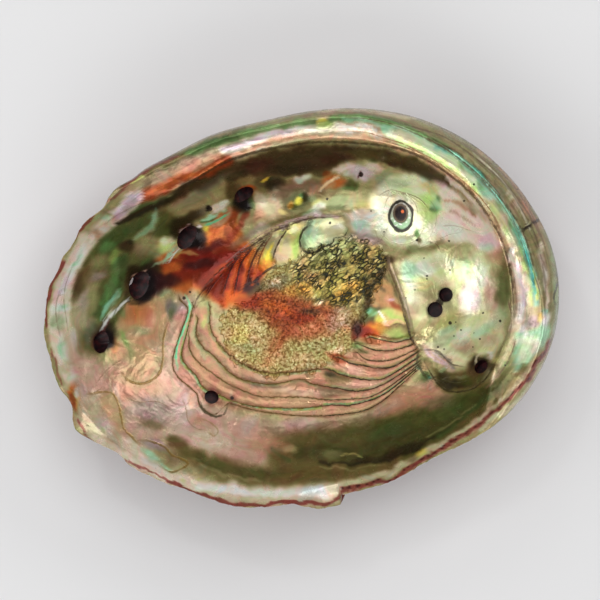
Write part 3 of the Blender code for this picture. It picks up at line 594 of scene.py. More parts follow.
SCAR_PAINT = (
    (KHAKI, 7, [222, 328, 232, 300, 252, 292, 272, 266, 300, 258, 328, 246, 352, 238, 376, 246,
     386, 260, 378, 280, 364, 300, 358, 322, 350, 350, 318, 368, 296, 376, 268, 376, 250, 368,
     232, 364], 0.95),
    (CREST_TONE, 10, [300, 268, 330, 252, 358, 244, 380, 254, 378, 280, 360, 300, 330, 296, 300, 290],
     0.9),
    (CREST_TONE, 358, 241, 20, 7, 0.7, -8), (SAGE, 344, 248, 30, 9, 0.6, 24),
    (MAUVE, 370, 240, 14, 6, 0.7, -10), (MAUVE, 362, 236, 14, 6, 0.5, 10),
    # The BARK dab on this row is painted shadow at the scar's upper left edge
    (AMBER, 346, 292, 18, 9, 0.4, 30), (BARK, 254, 290, 10, 5, 0.8, 42),
    (RUST, 262, 298, 12, 5, 0.6, 40), (STRAW, 330, 286, 18, 8, 0.5, 25),
    (AMBER, 290, 292, 22, 9, 0.5, 15),
    (RUST, 14, [252, 300, 274, 296, 300, 300, 322, 304, 340, 312, 334, 326, 318, 336, 296, 338,
     280, 334, 262, 318], 0.85),
    (EMBER, 300, 318, 24, 8, 0.45, -14), (ORANGE, 276, 308, 18, 6, 0.6, -18),
    (AMBER, 262, 300, 9, 5, 0.6, 10), (SALMON, 304, 330, 14, 6, 0.6), (RUST, 276, 344, 14, 6, 0.5, 40),
    (SALMON, 322, 328, 12, 9, 0.55), (SALMON, 272, 360, 10, 7, 0.6, 30),
    (SAND, 248, 336, 22, 16, 0.7, -20), (SAGE, 244, 346, 12, 8, 0.5, -20),
    (STRAW, 240, 334, 10, 9, 0.5), (CREAM, 238, 360, 8, 6, 0.6), (SAND, 296, 362, 20, 8, 0.5, 5),
    (SAGE, 318, 346, 14, 8, 0.5, 10), (MAUVE, 338, 320, 10, 14, 0.65, -40),
    (PEARL, 342, 316, 5, 9, 0.6, -40), (SALMON, 322, 316, 6, 5, 0.5), (PEACH, 346, 330, 6, 4, 0.5, 30),
    (SLATE, 276, 284, 14, 7, 0.6, 25), (PEARL, 275, 281, 6, 3, 0.7, 25),
    (BARK, 356, 330, 5, 12, 0.7, 10), (RED, 356, 334, 4, 6, 0.7), (PEARL, 318, 302, 5, 3, 0.8, 20),
    (PEARL, 336, 350, 8, 3, 0.7, 30), (BARK, 312, 311, 12, 3, 0.5),
    (FLAME, 238, 300, 13, 7, 0.85, 10, 0.7), (EMBER, 252, 302, 12, 7, 0.8, 15, 0.7),
    (RUST, 268, 296, 10, 5, 0.6, 15, 0.8),
)

# Bright orange and green corner right of the scar

HOT_SPOT_PAINT = (
    (OLIVE, 7, [366, 268, 388, 262, 400, 290, 410, 322, 414, 342, 396, 342, 364, 336, 362, 310,
     370, 290], 0.7),
    (BARK, 5, [364, 288, 378, 270, 388, 280, 386, 300, 384, 326, 372, 334, 362, 330], 0.7),
    (CLAY, 4, [370, 298, 376, 286, 384, 280, 391, 288, 400, 306, 390, 309, 374, 306], 0.9),
    (SALMON, 391, 301, 6, 4, 0.8, -50), (LILAC, 393, 302, 2.4, 1.6, 0.7),
    (BARK, 382, 290, 4, 2, 0.5, -40), (RUST, 397, 308, 7, 2.4, 0.8, -40), (OLIVE, 374, 284, 8, 8, 0.6),
    (STRAW, 4, [374, 312, 388, 309, 402, 311, 406, 324, 388, 326, 376, 322], 0.8),
    (MOSS, 366, 320, 7, 7, 0.8), (GREEN, 371, 312, 7, 4, 0.85, 10, 0.8),
    (AQUA, 369, 310, 3.5, 2, 0.5, 10, 0.8), (MINT, 375, 313, 4, 1.6, 0.5, 25, 0.8),
    (LIME, 392, 315, 8, 3, 0.6, -30, 0.7),
    (WHITE, [380, 312, 383, 317, 384, 322, 386, 326], 2.4, 0.85, 0.6),
    (YELLOW, 380, 320, 4, 3, 0.6, 0, 0.8), (PEACH, [388, 323, 397, 321, 404, 325], 3, 0.85, 0.6),
    (BARK, [386, 327, 396, 325, 404, 329], 1.4, 0.6, 0.6), (FLAME, 374, 330, 11, 6.5, 1.0, 10, 0.7),
    (AMBER, 378, 327, 6, 3, 0.9, 10, 0.8), (EMBER, 366, 333, 7, 5, 0.95, 0, 0.7),
    (MAROON, 359, 330, 4, 7, 0.9, 10, 0.8), (SALMON, 384, 336, 8, 3, 0.7),
    (LIME, 396, 333, 12, 4, 0.75, -10, 0.7), (RUST, 376, 341, 14, 3.4, 0.8),
    (KHAKI, 372, 268, 9, 8, 0.4), (BARK, 389, 258, 6, 4, 0.8),
)

# Rose layers between the lines below and right of the scar

FAN_PAINT = (
    (SALMON, 8, [330, 366, 350, 352, 380, 342, 412, 342, 416, 360, 396, 384, 360, 396, 320, 398,
     300, 384], 0.75),
    (FAN_TONE, 10, [176, 316, 196, 306, 212, 318, 222, 346, 250, 368, 300, 374, 350, 352, 400, 342,
     418, 350, 400, 392, 350, 414, 270, 414, 206, 404, 178, 374], 0.65),
    (ROSE, 368, 384, 28, 6, 0.5, 6), (ROSE, 352, 372, 12, 5, 0.6, -10),
    (OLIVE, 335, 376, 14, 7, 0.85, -15), (BARK, 330, 392, 16, 5, 0.6, -5),
    (SHADE, 330, 374, 8, 3, 0.5, -20), (MOSS, 362, 352, 6, 3, 0.7, -10),
    (GREEN, 358, 346, 6, 3, 0.6, -10), (RUST, 338, 358, 10, 3.4, 0.8, -20),
    (DUSK, 340, 390, 26, 5, 0.5), (DUSK, 262, 386, 24, 6, 0.6, -15),
    (SALMON, 240, 378, 16, 5, 0.5, -25), (ROSE, 300, 392, 22, 4, 0.6),
    (SALMON, [205, 312, 206, 330, 216, 346, 230, 358], 10, 0.6),
    (DUSK, [200, 330, 210, 352, 228, 370, 250, 382], 9, 0.5),
    (SALMON, [188, 350, 196, 366, 216, 380, 240, 392, 280, 400], 12, 0.5),
    (SAGE, [196, 322, 194, 340, 204, 358], 4, 0.5), (DUSK, 186, 340, 6, 20, 0.5, 8),
    (KHAKI, [196, 332, 200, 344, 208, 354], 6, 0.6), (LIME, [208, 318, 204, 326], 6, 0.5),
    (SAND, 214, 322, 6, 9, 0.5),
)

# Painted shade in the hollow under the inner edge of the shelf

SHELF_SHADE_PAINT = (
    (BARK, 7, [116, 222, 150, 208, 180, 190, 208, 174, 232, 162, 268, 152, 310, 146, 350, 146, 400, 152,
     440, 172, 452, 186, 436, 184, 400, 168, 360, 160, 330, 168, 290, 176, 256, 178, 234, 172, 214, 184,
     180, 198, 140, 216], 0.9),
    (SLATE, 214, 182, 18, 5, 0.4, 26), (WINE, 258, 166, 18, 7, 0.55, 6),
    (SHADE, 312, 160, 44, 8, 0.3, 3), (WINE, 336, 158, 16, 4, 0.3), (SHADE, 290, 170, 22, 6, 0.7),
    (OLIVE, 372, 156, 26, 5, 0.6, -4), (SHADE, 236, 176, 12, 5, 0.7, 20),
    (SHADE, [116, 222, 150, 208, 182, 188, 206, 174, 234, 160], 5, 0.8),
    (OLIVE, [400, 154, 430, 168, 456, 190, 474, 212], 8, 0.4),
)

# Bands of the broad shelf, the flank outside it and the mint facet at its end, with painted highlights on
# the shelf's pale band and on the facet

SHELF_PAINT = (
    (FLANK_TONE, [108, 204, 130, 188, 160, 170, 200, 150, 245, 132, 300, 116, 350, 110, 400, 118,
     446, 136, 486, 164, 520, 206, 540, 252, 550, 300, 548, 336], 22, 0.95, 0.35),
    (SAND, [128, 198, 160, 184, 200, 164, 245, 146, 300, 132, 350, 128, 400, 136, 440, 154, 476, 182,
     502, 214, 518, 250, 524, 290, 522, 326], 20, 0.95, 0.35),
    (OLIVE, [124, 186, 160, 166, 204, 146, 244, 130], 7, 0.8),
    (KHAKI, [112, 204, 126, 192, 150, 178], 6, 0.8), (LIME, [132, 184, 142, 178], 3, 0.7),
    (DUSK, [146, 184, 180, 168, 214, 154], 9, 0.8),
    (RUST, [142, 198, 160, 188, 182, 178, 206, 170, 228, 160], 12, 0.95, 0.4),
    (ORANGE, [148, 194, 168, 182, 190, 172], 5, 0.55),
    (SALMON, [176, 172, 196, 164, 216, 156, 236, 150], 7, 0.7),
    (ORANGE, [186, 178, 206, 170, 222, 162], 4, 0.6),
    (LILAC, 6, [111, 212, 122, 200, 132, 194, 142, 193, 140, 203, 128, 211, 118, 219]),
    (MAUVE, 3, [120, 208, 130, 200, 138, 198, 137, 203, 126, 210], 0.7),
    (PEARL, [111, 213, 122, 201, 132, 194, 142, 193, 140, 203, 128, 212, 117, 220], 2.6, 0.6, 0.9),
    (GREEN, [190, 152, 220, 141, 250, 133, 286, 126, 314, 121], 8, 0.75),
    (LEAF, [196, 148, 216, 141, 236, 135], 5, 0.5), (SAND, [200, 158, 226, 148], 5, 0.6),
    (PEARL, [222, 151, 250, 142, 284, 134, 316, 128, 340, 127], 9, 0.9, 0.4),
    (LILAC, [222, 150, 240, 144, 266, 137, 292, 131], 4.5, 0.85),
    # The WHITE dabs here and the WHITE, IVORY and SPRING strokes below are painted highlights on the shelf's
    # pale band
    (SALMON, [234, 153, 262, 145, 300, 138, 332, 137], 5, 0.75), (WHITE, 262, 137, 6, 1.8, 0.8, 14),
    (WHITE, 300, 129, 9, 1.8, 0.7, 10), (LIME, 324, 124, 9, 4.5, 0.9, 4),
    (YELLOW, 322, 121, 6, 1.8, 0.6, 4), (SAND, [318, 111, 350, 110, 380, 112, 412, 118], 4, 0.8),
    (DUSK, [320, 114, 350, 113, 390, 118, 430, 130], 3, 0.6),
    (GREEN, [332, 119, 362, 118, 392, 123, 424, 136, 446, 148], 7, 0.85),
    (MINT, [344, 119, 366, 121, 392, 128], 4, 0.7),
    (MINT, [384, 128, 412, 136, 440, 152, 466, 172, 488, 196], 8, 0.9, 0.4),
    (GREEN, [392, 130, 420, 142, 448, 158, 470, 176], 4, 0.5),
    (WHITE, [344, 126, 360, 126, 374, 130], 3.4, 0.8),
    (PEARL, [336, 131, 360, 131, 380, 136], 3.4, 0.8),
    (PEACH, [340, 138, 368, 138, 396, 146, 424, 158, 446, 174], 5, 0.85),
    (IVORY, [392, 134, 424, 144, 450, 160, 474, 184], 9, 0.75),
    (SPRING, [398, 140, 428, 152, 452, 170, 474, 190], 5, 0.7),
    (PEACH, [430, 160, 456, 178, 478, 198, 494, 222, 504, 244], 7, 0.8),
    (PEARL, [446, 178, 464, 192, 480, 208], 3.4, 0.9),
    (CREAM, [480, 196, 496, 214, 508, 236, 516, 256], 8, 0.85),
    (STRAW, [476, 190, 492, 208, 504, 228], 3, 0.5),
    (AQUA, [436, 146, 456, 158, 474, 172, 492, 192, 508, 214, 520, 236], 4.5, 0.65, 0.9),
    (TEAL, [440, 145, 450, 150], 2.2, 0.7), (TEAL, [470, 166, 484, 180], 2.2, 0.6),
    (MINT, [488, 190, 504, 210, 516, 232, 524, 252], 6, 0.6, 0.8),
    (GREEN, 462, 168, 5, 2, 0.55, -52, 0.8), (SPRING, 458, 173, 6, 2, 0.6, -52, 0.8),
    (GREEN, 480, 184, 5, 2, 0.55, -52, 0.8), (SPRING, 476, 189, 6, 2, 0.6, -52, 0.8),
    (GREEN, 497, 206, 5, 2, 0.55, -52, 0.8), (SPRING, 493, 211, 6, 2, 0.6, -52, 0.8),
    (GREEN, 510, 226, 5, 2, 0.55, -52, 0.8), (SPRING, 506, 231, 6, 2, 0.6, -52, 0.8),
    (GREEN, 528, 262, 5, 2, 0.55, -52, 0.8), (SPRING, 524, 267, 6, 2, 0.6, -52, 0.8),
    (GREEN, 533, 290, 5, 2, 0.55, -52, 0.8), (SPRING, 529, 295, 6, 2, 0.6, -52, 0.8),
    (AQUA, [516, 230, 525, 248, 531, 268, 534, 288, 536, 304], 5.5, 0.7, 0.9),
    (TEAL, [526, 250, 531, 264, 534, 282], 3, 0.75), (YELLOW, [532, 268, 535, 282, 537, 298], 1.8, 0.6),
    (LIME, [521, 246, 526, 264, 530, 288, 532, 306], 3, 0.5),
    (PEARL, [512, 252, 518, 272, 521, 296, 520, 318], 8, 0.9, 0.4),
    (LILAC, [518, 264, 522, 284, 523, 304], 4, 0.7), (STRAW, [517, 250, 521, 264], 3, 0.5),
    (DUSK, [506, 250, 511, 270, 514, 292, 514, 316], 3, 0.7),
    (DUSK, [526, 196, 536, 224, 543, 256, 547, 290], 4, 0.7),
    (KHAKI, [448, 140, 478, 160, 504, 188, 522, 218, 534, 250, 541, 290], 2.6, 0.75),
    (CREAM, [474, 156, 500, 180, 518, 206, 530, 232], 1.8, 0.8),
    (PEARL, [538, 244, 545, 268, 547, 296, 544, 316], 3.4, 0.7),
    (SALMON, [480, 148, 502, 168, 520, 192, 530, 212], 5, 0.6),
    (BARK, [430, 138, 460, 156, 488, 182, 508, 210, 520, 232], 3, 0.6),
    (SAGE, [546, 232, 554, 262, 557, 300, 554, 330], 5, 0.7), (MAUVE, 532, 322, 7, 6.5, 0.9),
    (MINT, 5, [517, 330, 534, 330, 546, 318, 550, 330, 540, 348, 526, 366, 516, 372, 514, 352], 0.9),
    # Painted highlights on the mint facet: the ivory patch and the WHITE dabs
    (IVORY, 5, [520, 336, 536, 334, 540, 344, 528, 360, 519, 366], 0.7), (WHITE, 525, 331, 2.6, 8, 0.9),
    (WHITE, 546, 320, 4, 7, 0.7), (YELLOW, 541, 318, 2.6, 5, 0.45), (AQUA, 544, 312, 3, 3, 0.5),
    (SAND, [512, 330, 510, 346, 502, 362, 492, 378], 6, 0.8),
    (DUSK, [514, 340, 508, 356, 498, 372, 486, 388], 2, 0.6),
    (SAND, [534, 364, 520, 382, 500, 400, 476, 420], 5, 0.7),
    (OLIVE, [524, 366, 510, 384, 488, 404, 462, 424], 6, 0.7),
)

# Red outer layer along the broken edge of the lip, its small notches and the rest of the lip

RIND_EDGE = [
    548, 340, 540, 358, 528, 378, 512, 395, 494, 412, 470, 430, 446, 446, 428, 456, 396, 476, 366, 486,
    342, 490,
]
NOTCH_SHIFT = 1.1
NOTCH_BEAT = 2.4
NOTCH_REACH = (1.5, 0.9)
NOTCH_TURN = 40.0
EDGE_PAINT = (
    (CREAM, [554, 345, 545, 366, 530, 388, 508, 408, 480, 428], 5, 0.7),
    (RIND_RED, RIND_EDGE, 4.6, 0.9, 0.45),
)
RIND_PAINT = (
    (RIND_RED, [341, 492, 334, 503, 300, 504, 280, 502, 262, 506, 226, 502, 190, 489, 166, 479], 3.6,
     0.9, 0.4),
    (RIND_RED, [166, 479, 126, 461, 92, 440, 76, 420], 2.4, 0.7, 0.4),
    (RIND_RED, [47, 326, 46, 306, 52, 284, 63, 262], 3.4, 0.9, 0.4),
    (RIND_RED, [76, 238, 84, 226, 93, 216], 3.4, 0.9, 0.4),
    (RIND_RED, [108, 200, 124, 188, 146, 172, 180, 156], 2.6, 0.6, 0.4),
    (RIND_RED, [52, 352, 58, 372, 62, 386], 2.2, 0.5, 0.4),
)
PAINT_TABLES = (
    LEFT_RIM_PAINT, UPPER_LEFT_PAINT, LOWER_LEFT_PAINT, LOWER_RIGHT_PAINT, PORE_SIDE_PAINT, STAIN_PAINT,
    PORES_PAINT, WINDOWS_PAINT, TOP_PAINT, EYE_SIDE_PAINT, POCKET_PAINT, SCAR_PAINT, HOT_SPOT_PAINT,
    FAN_PAINT, SHELF_SHADE_PAINT, SHELF_PAINT, EDGE_PAINT,
)

# How far the painted shapes wander, wide and then fine: reach and size in pixels

PAINT_WANDER = ((2.2, 13.0), (1.3, 5.0))

# Layer lines below the scar, outermost first: points, half width and glow of their outer side

CONTOUR_CENTRE = (330.0, 250.0)
CONTOURS = (
    ([180, 300, 188, 310, 181, 332, 174, 353, 173, 367, 178, 377, 188, 386, 197, 394, 200, 405,
     214, 415, 227, 404, 234, 404, 255, 410, 282, 414, 313, 416, 345, 414, 368, 409, 386, 398, 398, 387,
     417, 370], 0.55, 0.1),
    ([194, 306, 188, 330, 182, 353, 186, 365, 196, 375, 204, 388, 222, 396, 238, 403, 260, 407,
     300, 408, 331, 405, 350, 405, 367, 401, 380, 396, 394, 387, 417, 368], 0.85, 1.0),
    ([189, 337, 190, 350, 199, 363, 211, 372, 227, 383, 249, 393, 266, 397, 302, 397, 327, 400,
     354, 399, 370, 397, 389, 387, 417, 366], 0.45, 0.3),
    ([198, 319, 196, 332, 202, 346, 213, 355, 224, 367, 232, 374, 244, 380, 272, 384, 300, 379,
     313, 384, 336, 388, 354, 391, 371, 389, 389, 381, 417, 363], 0.75, 0.45),
    ([210, 306, 210, 328, 216, 339, 230, 356, 262, 372, 296, 372, 318, 369, 331, 370, 342, 375,
     361, 379, 375, 380, 389, 376, 417, 358], 0.8, 0.6),
    ([339, 357, 350, 363, 362, 365, 378, 368, 394, 366, 416, 353], 0.95, 0.35),
    ([357, 352, 365, 359, 378, 361, 394, 359, 415, 350], 0.5, 0.2),
    ([357, 343, 371, 349, 385, 351, 398, 349, 412, 345], 0.65, 0.35),
    ([370, 337, 394, 342, 410, 339], 0.6, 0.5),
)
CONTOUR_FADE = 3.0
CONTOUR_TURN = (300.0, 345.0)
CONTOUR_LEAST_GAP = 1.6
CONTOUR_OUTER_GAP = 8.0

# Long lines of the bowl and of the shelf

RIDGE_LINE = [
    201, 290, 214, 277, 226, 266, 240, 254, 252, 246, 270, 233, 290, 225, 302, 220, 313, 218, 326, 217,
    340, 216,
]
SUTURE = [386, 256, 390, 270, 396, 286, 403, 306, 408, 324, 412, 340, 419, 350]
CRESCENT = [424, 362, 430, 372, 440, 386, 454, 392, 472, 389, 486, 378, 494, 364]
SHELF_EDGE_LINE = [
    118, 222, 150, 206, 182, 187, 206, 173, 228, 161, 270, 149, 320, 142, 370, 144, 400, 149, 420, 157,
    436, 166, 452, 177, 468, 190, 480, 204, 492, 222, 500, 236, 506, 252, 511, 274, 513, 292, 512, 319,
    507, 336, 497, 356,
]
FLANK_LINE = [380, 116, 416, 128, 446, 138, 480, 162, 506, 186, 520, 207, 534, 232, 542, 262, 546, 292]
BAND_BORDER = [
    330, 116, 380, 121, 416, 134, 444, 148, 468, 166, 488, 184, 504, 203, 520, 226, 530, 252, 537, 284,
]

# Thin dark or coloured lines: points, half width, colour and cover

SEAMS = (
    (RIDGE_LINE, 1.0, (70, 46, 34), 0.9),
    ([226, 262, 252, 241, 272, 228, 292, 220, 312, 214], 0.6, (150, 112, 104), 0.6),
    ([223, 294, 227, 280, 233, 265, 243, 253], 0.7, (58, 16, 12), 0.85),
    ([234, 294, 237, 280, 242, 262, 256, 243], 0.8, (60, 18, 12), 0.9),
    ([247, 285, 250, 268, 258, 250, 269, 236], 0.9, (64, 22, 12), 0.9),
    ([257, 269, 260, 257, 266, 244, 274, 232], 0.7, (96, 44, 16), 0.85),
    ([273, 262, 274, 254, 280, 240, 291, 225], 0.9, (62, 46, 24), 0.95),
    ([302, 250, 300, 241, 303, 231, 311, 223], 1.0, (54, 50, 28), 0.95),
    ([302, 250, 310, 253, 318, 251, 322, 245, 318, 243], 1.0, (38, 36, 24), 0.95),
    ([322, 248, 332, 243, 334, 238], 0.9, (40, 40, 24), 0.9),
    ([334, 238, 344, 236, 348, 230], 0.8, (60, 62, 40), 0.85),
    ([215, 278, 223, 269, 232, 259], 0.7, (176, 60, 44), 0.7),
    ([206, 296, 214, 284, 224, 272], 0.7, (56, 16, 14), 0.8),
    ([195, 303, 202, 292, 212, 284], 0.8, (52, 22, 20), 0.7),
    ([246, 285, 256, 280, 266, 271, 276, 266], 1.2, (44, 30, 26), 0.85),
    (SUTURE, 0.8, (74, 48, 28), 0.7),
    ([403, 310, 408, 326, 412, 340, 419, 350], 1.2, (38, 26, 18), 0.95),
    ([420, 350, 437, 351, 450, 363, 464, 367], 0.8, (88, 74, 60), 0.7),
    ([419, 350, 417, 360, 420, 368, 428, 380], 1.2, (66, 62, 34), 0.8),
    (CRESCENT, 0.9, (64, 56, 30), 0.9),
    ([436, 376, 446, 381, 458, 383, 472, 380], 0.6, (70, 66, 34), 0.7),
    ([122, 373, 128, 380, 140, 384, 152, 380, 160, 372, 163, 358, 163, 345, 165, 332, 169, 322], 1.1,
     (138, 106, 44), 0.8),
    ([88, 394, 102, 392, 112, 393, 118, 402, 121, 415, 124, 428, 133, 438, 141, 447], 1.1,
     (150, 116, 52), 0.8),
    ([141, 440, 150, 441, 165, 447, 172, 455, 182, 459, 188, 464, 172, 472, 160, 466], 1.1,
     (132, 104, 44), 0.8),
    ([128, 398, 140, 402, 156, 401, 170, 407], 0.6, (150, 118, 84), 0.45),
    ([199, 400, 203, 410, 214, 416, 224, 414, 228, 405], 1.3, (66, 60, 34), 0.85),
    ([181, 396, 186, 408, 188, 420, 196, 428, 206, 430], 0.6, (150, 122, 84), 0.5),
    ([206, 430, 214, 436, 218, 430, 210, 422, 200, 418], 0.8, (150, 130, 70), 0.5),
    (SHELF_EDGE_LINE, 1.3, (60, 42, 24), 0.75),
    ([340, 131, 364, 132, 384, 138, 406, 145, 420, 153, 434, 160, 448, 170, 462, 181, 478, 195,
     492, 213, 500, 228, 505, 244], 0.7, (150, 104, 62), 0.8),
    (BAND_BORDER, 0.9, (84, 74, 46), 0.85),
    ([448, 152, 470, 170, 488, 188, 504, 208, 516, 230, 524, 250, 529, 272], 0.6, (120, 112, 74), 0.6),
    (FLANK_LINE, 0.8, (102, 84, 62), 0.7),
    ([452, 136, 484, 158, 510, 182, 528, 208, 542, 238, 550, 268], 0.7, (120, 96, 76), 0.7),
    ([516, 336, 512, 352, 504, 368, 492, 382], 0.8, (128, 104, 84), 0.7),
    ([508, 300, 512, 320, 509, 336], 0.8, (120, 92, 78), 0.6),
    ([521, 231, 528, 226, 533, 224, 541, 217], 1.2, (38, 26, 22), 0.95),
    ([556, 272, 558, 282, 554, 296, 555, 306], 0.9, (44, 36, 30), 0.7),
    ([380, 195, 390, 190, 400, 192, 414, 196, 423, 202, 430, 212], 0.55, (124, 104, 78), 0.7),
    ([384, 156, 390, 153, 398, 155, 402, 162, 400, 169], 0.7, (70, 52, 38), 0.6),
    ([427, 241, 436, 244, 441, 252], 0.6, (86, 68, 44), 0.6),
    ([384, 208, 388, 198, 398, 194, 409, 197, 416, 206, 418, 218], 0.5, (136, 120, 90), 0.45),
    ([380, 228, 388, 240, 402, 244, 416, 240, 424, 228], 0.5, (136, 116, 84), 0.45),
    ([374, 222, 378, 238, 392, 249, 410, 249], 0.5, (150, 132, 100), 0.35),
    ([424, 196, 434, 206, 436, 222, 430, 236], 0.5, (150, 132, 100), 0.35),
    ([414, 250, 430, 244, 446, 236, 462, 232], 0.5, (130, 116, 84), 0.4),
    ([440, 226, 456, 226, 474, 232], 0.5, (170, 130, 112), 0.4),
    ([372, 246, 382, 238, 388, 226], 0.6, (110, 96, 70), 0.5),
    ([112, 320, 118, 306, 128, 296], 0.7, (84, 92, 50), 0.6),
    ([150, 240, 158, 228, 168, 218], 0.7, (70, 74, 44), 0.5),
    ([96, 384, 104, 374, 112, 366, 122, 360], 0.6, (150, 118, 88), 0.5),
    ([60, 290, 56, 306, 57, 322, 60, 336], 0.7, (150, 138, 110), 0.6),
    ([72, 268, 66, 284, 64, 300, 66, 316, 68, 330], 0.6, (140, 124, 92), 0.5),
)

# Thin bright lines: the white and pale ones are painted highlights, the green, orange and yellow ones bright
# lines of the nacre. Points, half width, colour and cover

GLEAMS = (
    ([186, 296, 190, 306, 186, 322, 179, 340, 176, 356, 178, 368], 1.0, (92, 206, 148), 0.95),
    ([228, 214, 216, 221, 204, 226], 0.9, (104, 206, 150), 0.95),
    ([178, 246, 171, 252, 164, 262], 1.4, (150, 220, 180), 0.7),
    ([184, 244, 176, 252, 169, 262], 0.6, (230, 236, 220), 0.8),
    ([228, 204, 220, 208, 212, 213], 1.3, (232, 226, 214), 0.7),
    ([320, 190, 325, 185, 332, 180, 338, 176], 0.9, (255, 214, 160), 0.95),
    ([340, 172, 346, 168, 356, 166], 1.1, (244, 226, 224), 0.7),
    ([262, 181, 268, 178], 0.8, (226, 190, 70), 0.9),
    ([485, 352, 477, 356, 476, 364], 1.0, (226, 214, 176), 0.7),
    ([57, 302, 62, 310, 70, 308], 1.6, (232, 250, 240), 0.5),
    ([128, 299, 118, 308, 108, 319, 101, 330], 1.0, (236, 240, 232), 0.8),
    ([117, 293, 109, 304, 101, 317], 1.2, (130, 196, 160), 0.6),
    ([156, 210, 153, 221, 146, 231, 136, 238], 1.6, (136, 186, 144), 0.5),
    ([452, 152, 474, 168, 492, 188, 506, 208], 1.3, (120, 224, 190), 0.35),
    ([506, 208, 516, 224, 525, 246, 531, 270, 534, 292], 1.5, (96, 214, 196), 0.35),
    ([474, 154, 500, 178, 518, 204, 530, 230], 0.9, (230, 222, 196), 0.6),
    ([446, 178, 464, 192, 480, 208, 492, 228], 1.2, (240, 222, 204), 0.5),
    ([389, 262, 398, 282, 406, 306, 411, 326], 0.9, (206, 180, 160), 0.6),
    ([430, 350, 442, 360, 452, 368], 1.0, (214, 190, 196), 0.6),
    ([246, 266, 250, 256, 257, 246], 0.9, (226, 110, 30), 0.7),
    ([266, 262, 268, 254, 273, 244], 1.2, (240, 214, 70), 0.9),
    ([296, 258, 296, 244, 301, 232], 1.2, (170, 196, 96), 0.7),
    ([280, 253, 282, 242, 289, 231], 1.2, (196, 190, 110), 0.6),
)
SEAM_NEAR = 4.0

# Dark specks in the nacre: place and radius

SPECKS = (
    (445, 295, 7.4), (434, 310, 7.8), (439.5, 302.5, 4.0), (441.5, 299.5, 4.0), (450, 270, 1.1),
    (427, 276, 1.2), (427, 279, 1.0), (424, 258, 0.9), (415, 290, 0.9), (406, 298, 0.9), (483, 313, 1.2),
    (500, 321, 1.5), (450, 323, 1.8), (455.5, 322, 1.0), (461, 330, 1.1), (454, 336, 0.9), (431, 337, 0.9),
    (480, 339, 1.1), (473, 347, 0.9), (438, 347, 1.2), (444, 349, 1.0), (474, 333, 0.8), (210.5, 209, 2.0),
    (330, 223, 1.4), (327, 199, 1.4), (361, 174.5, 2.4), (371, 211, 1.0), (384, 232, 0.9), (518, 189, 1.2),
    (557, 285, 1.3), (464, 201, 1.1), (473, 185, 1.2), (449, 241, 1.1), (417, 240, 1.4), (184, 298, 1.8),
    (190, 292, 1.3), (258, 284, 1.6), (352, 398, 0.9), (232, 398, 2.0), (504, 365, 1.0), (240, 252, 0.9),
    (345, 330, 1.0),
)

# The ringed blister beside the scar, and the scar

EYE_CENTRE = (401.0, 216.0)
EYE_REACH = (11.6, 14.4)
EYE_PUPIL = (400.5, 213.5)
EYE_PUPIL_REACH = (7.6, 9.8)
EYE_DOT = (402.5, 211.5)
EYE_DOT_REACH = (1.5, 1.7)
EYE_HEIGHT = 0.9
SCAR_OUTLINE = [
    221, 330, 226, 314, 240, 304, 252, 298, 262, 284, 276, 268, 296, 258, 318, 248, 332, 244, 350, 237,
    368, 241, 383, 252, 387, 264, 384, 278, 376, 294, 366, 312, 360, 334, 350, 350, 318, 367, 300, 373,
    268, 376, 250, 367, 232, 362,
]
SCAR_COARSE_CENTRE = (342.0, 268.0)
SCAR_COARSE_REACH = (58.0, 44.0)
SCAR_TURN = 38.0
SCAR_SOFT = 11.0

# Round features of the bowl's floor: place, reach and height in millimetres

KNOBS = (
    (274.0, 183.0, 7.0, -0.9), (298.0, 201.0, 9.0, 0.8), (303.0, 197.0, 3.0, 0.5), (293.0, 204.0, 3.0, 0.4),
    (383.0, 162.0, 5.0, 0.9), (393.5, 162.0, 5.0, -0.6), (362.0, 172.0, 12.0, 0.6),
    (330.0, 184.0, 9.0, 0.7), (270.0, 205.0, 14.0, 0.6), (222.0, 206.0, 13.0, 0.8),
    (168.0, 244.0, 13.0, 0.8), (122.0, 300.0, 13.0, 0.6), (92.0, 270.0, 16.0, 0.8),
    (84.0, 318.0, 13.0, -0.7), (72.0, 294.0, 9.0, -0.6), (74.0, 360.0, 11.0, -0.6),
    (430.0, 184.0, 14.0, 0.7), (458.0, 206.0, 18.0, 0.6), (440.0, 300.0, 34.0, 0.8),
    (460.0, 386.0, 14.0, -1.1), (366.0, 222.0, 14.0, 0.5), (324.0, 234.0, 14.0, -0.5),
    (286.0, 244.0, 11.0, -0.4), (232.0, 190.0, 12.0, -0.8), (214.0, 262.0, 26.0, -0.5),
)

# Open pores as they are seen, and the hollow that each one sits in

PORE_HOLLOWS = ((104.0, 342.0), (141.0, 284.0), (190.0, 236.0), (246.0, 200.0))
PORE_HOLLOW_REACH = 15.0
PORE_HOLLOW_DEPTH = 1.3

# Small relief in millimetres: wide swells by height, size and seed, and lines by half width and height

UNDULATIONS = ((0.3, 42.0, 11), (0.12, 17.0, 12))
LINE_FORMS = ((RIDGE_LINE, 5.0, 0.5), (SUTURE, 2.6, -0.55), (CRESCENT, 2.6, -0.5))
FAN_LINES = SEAMS[2:8]
FAN_LINE_REACH = 2.2
FAN_LINE_DEPTH = 0.275
TERRACE = 0.1
SCAR_LUMPS = 0.32
LIP_WAVES = ((7, 0.35, 0.4), (11, 0.4, 2.1), (17, 0.3, 4.0), (29, 0.15, 1.2))
LIP_WAVE_REACH = 9.0
SHELF_GROOVES = 0.12
EDGE_CRUMBLE = 0.24
GROWTH_LINE_HEIGHT = 0.16
STREAK_RADIUS = 75.0
STREAK_STRETCH = 14.0


def smooth(value):
    """Ease from 0 to 1 with flat ends."""
    value = np.clip(value, 0.0, 1.0)
    return value * value * (3.0 - 2.0 * value)


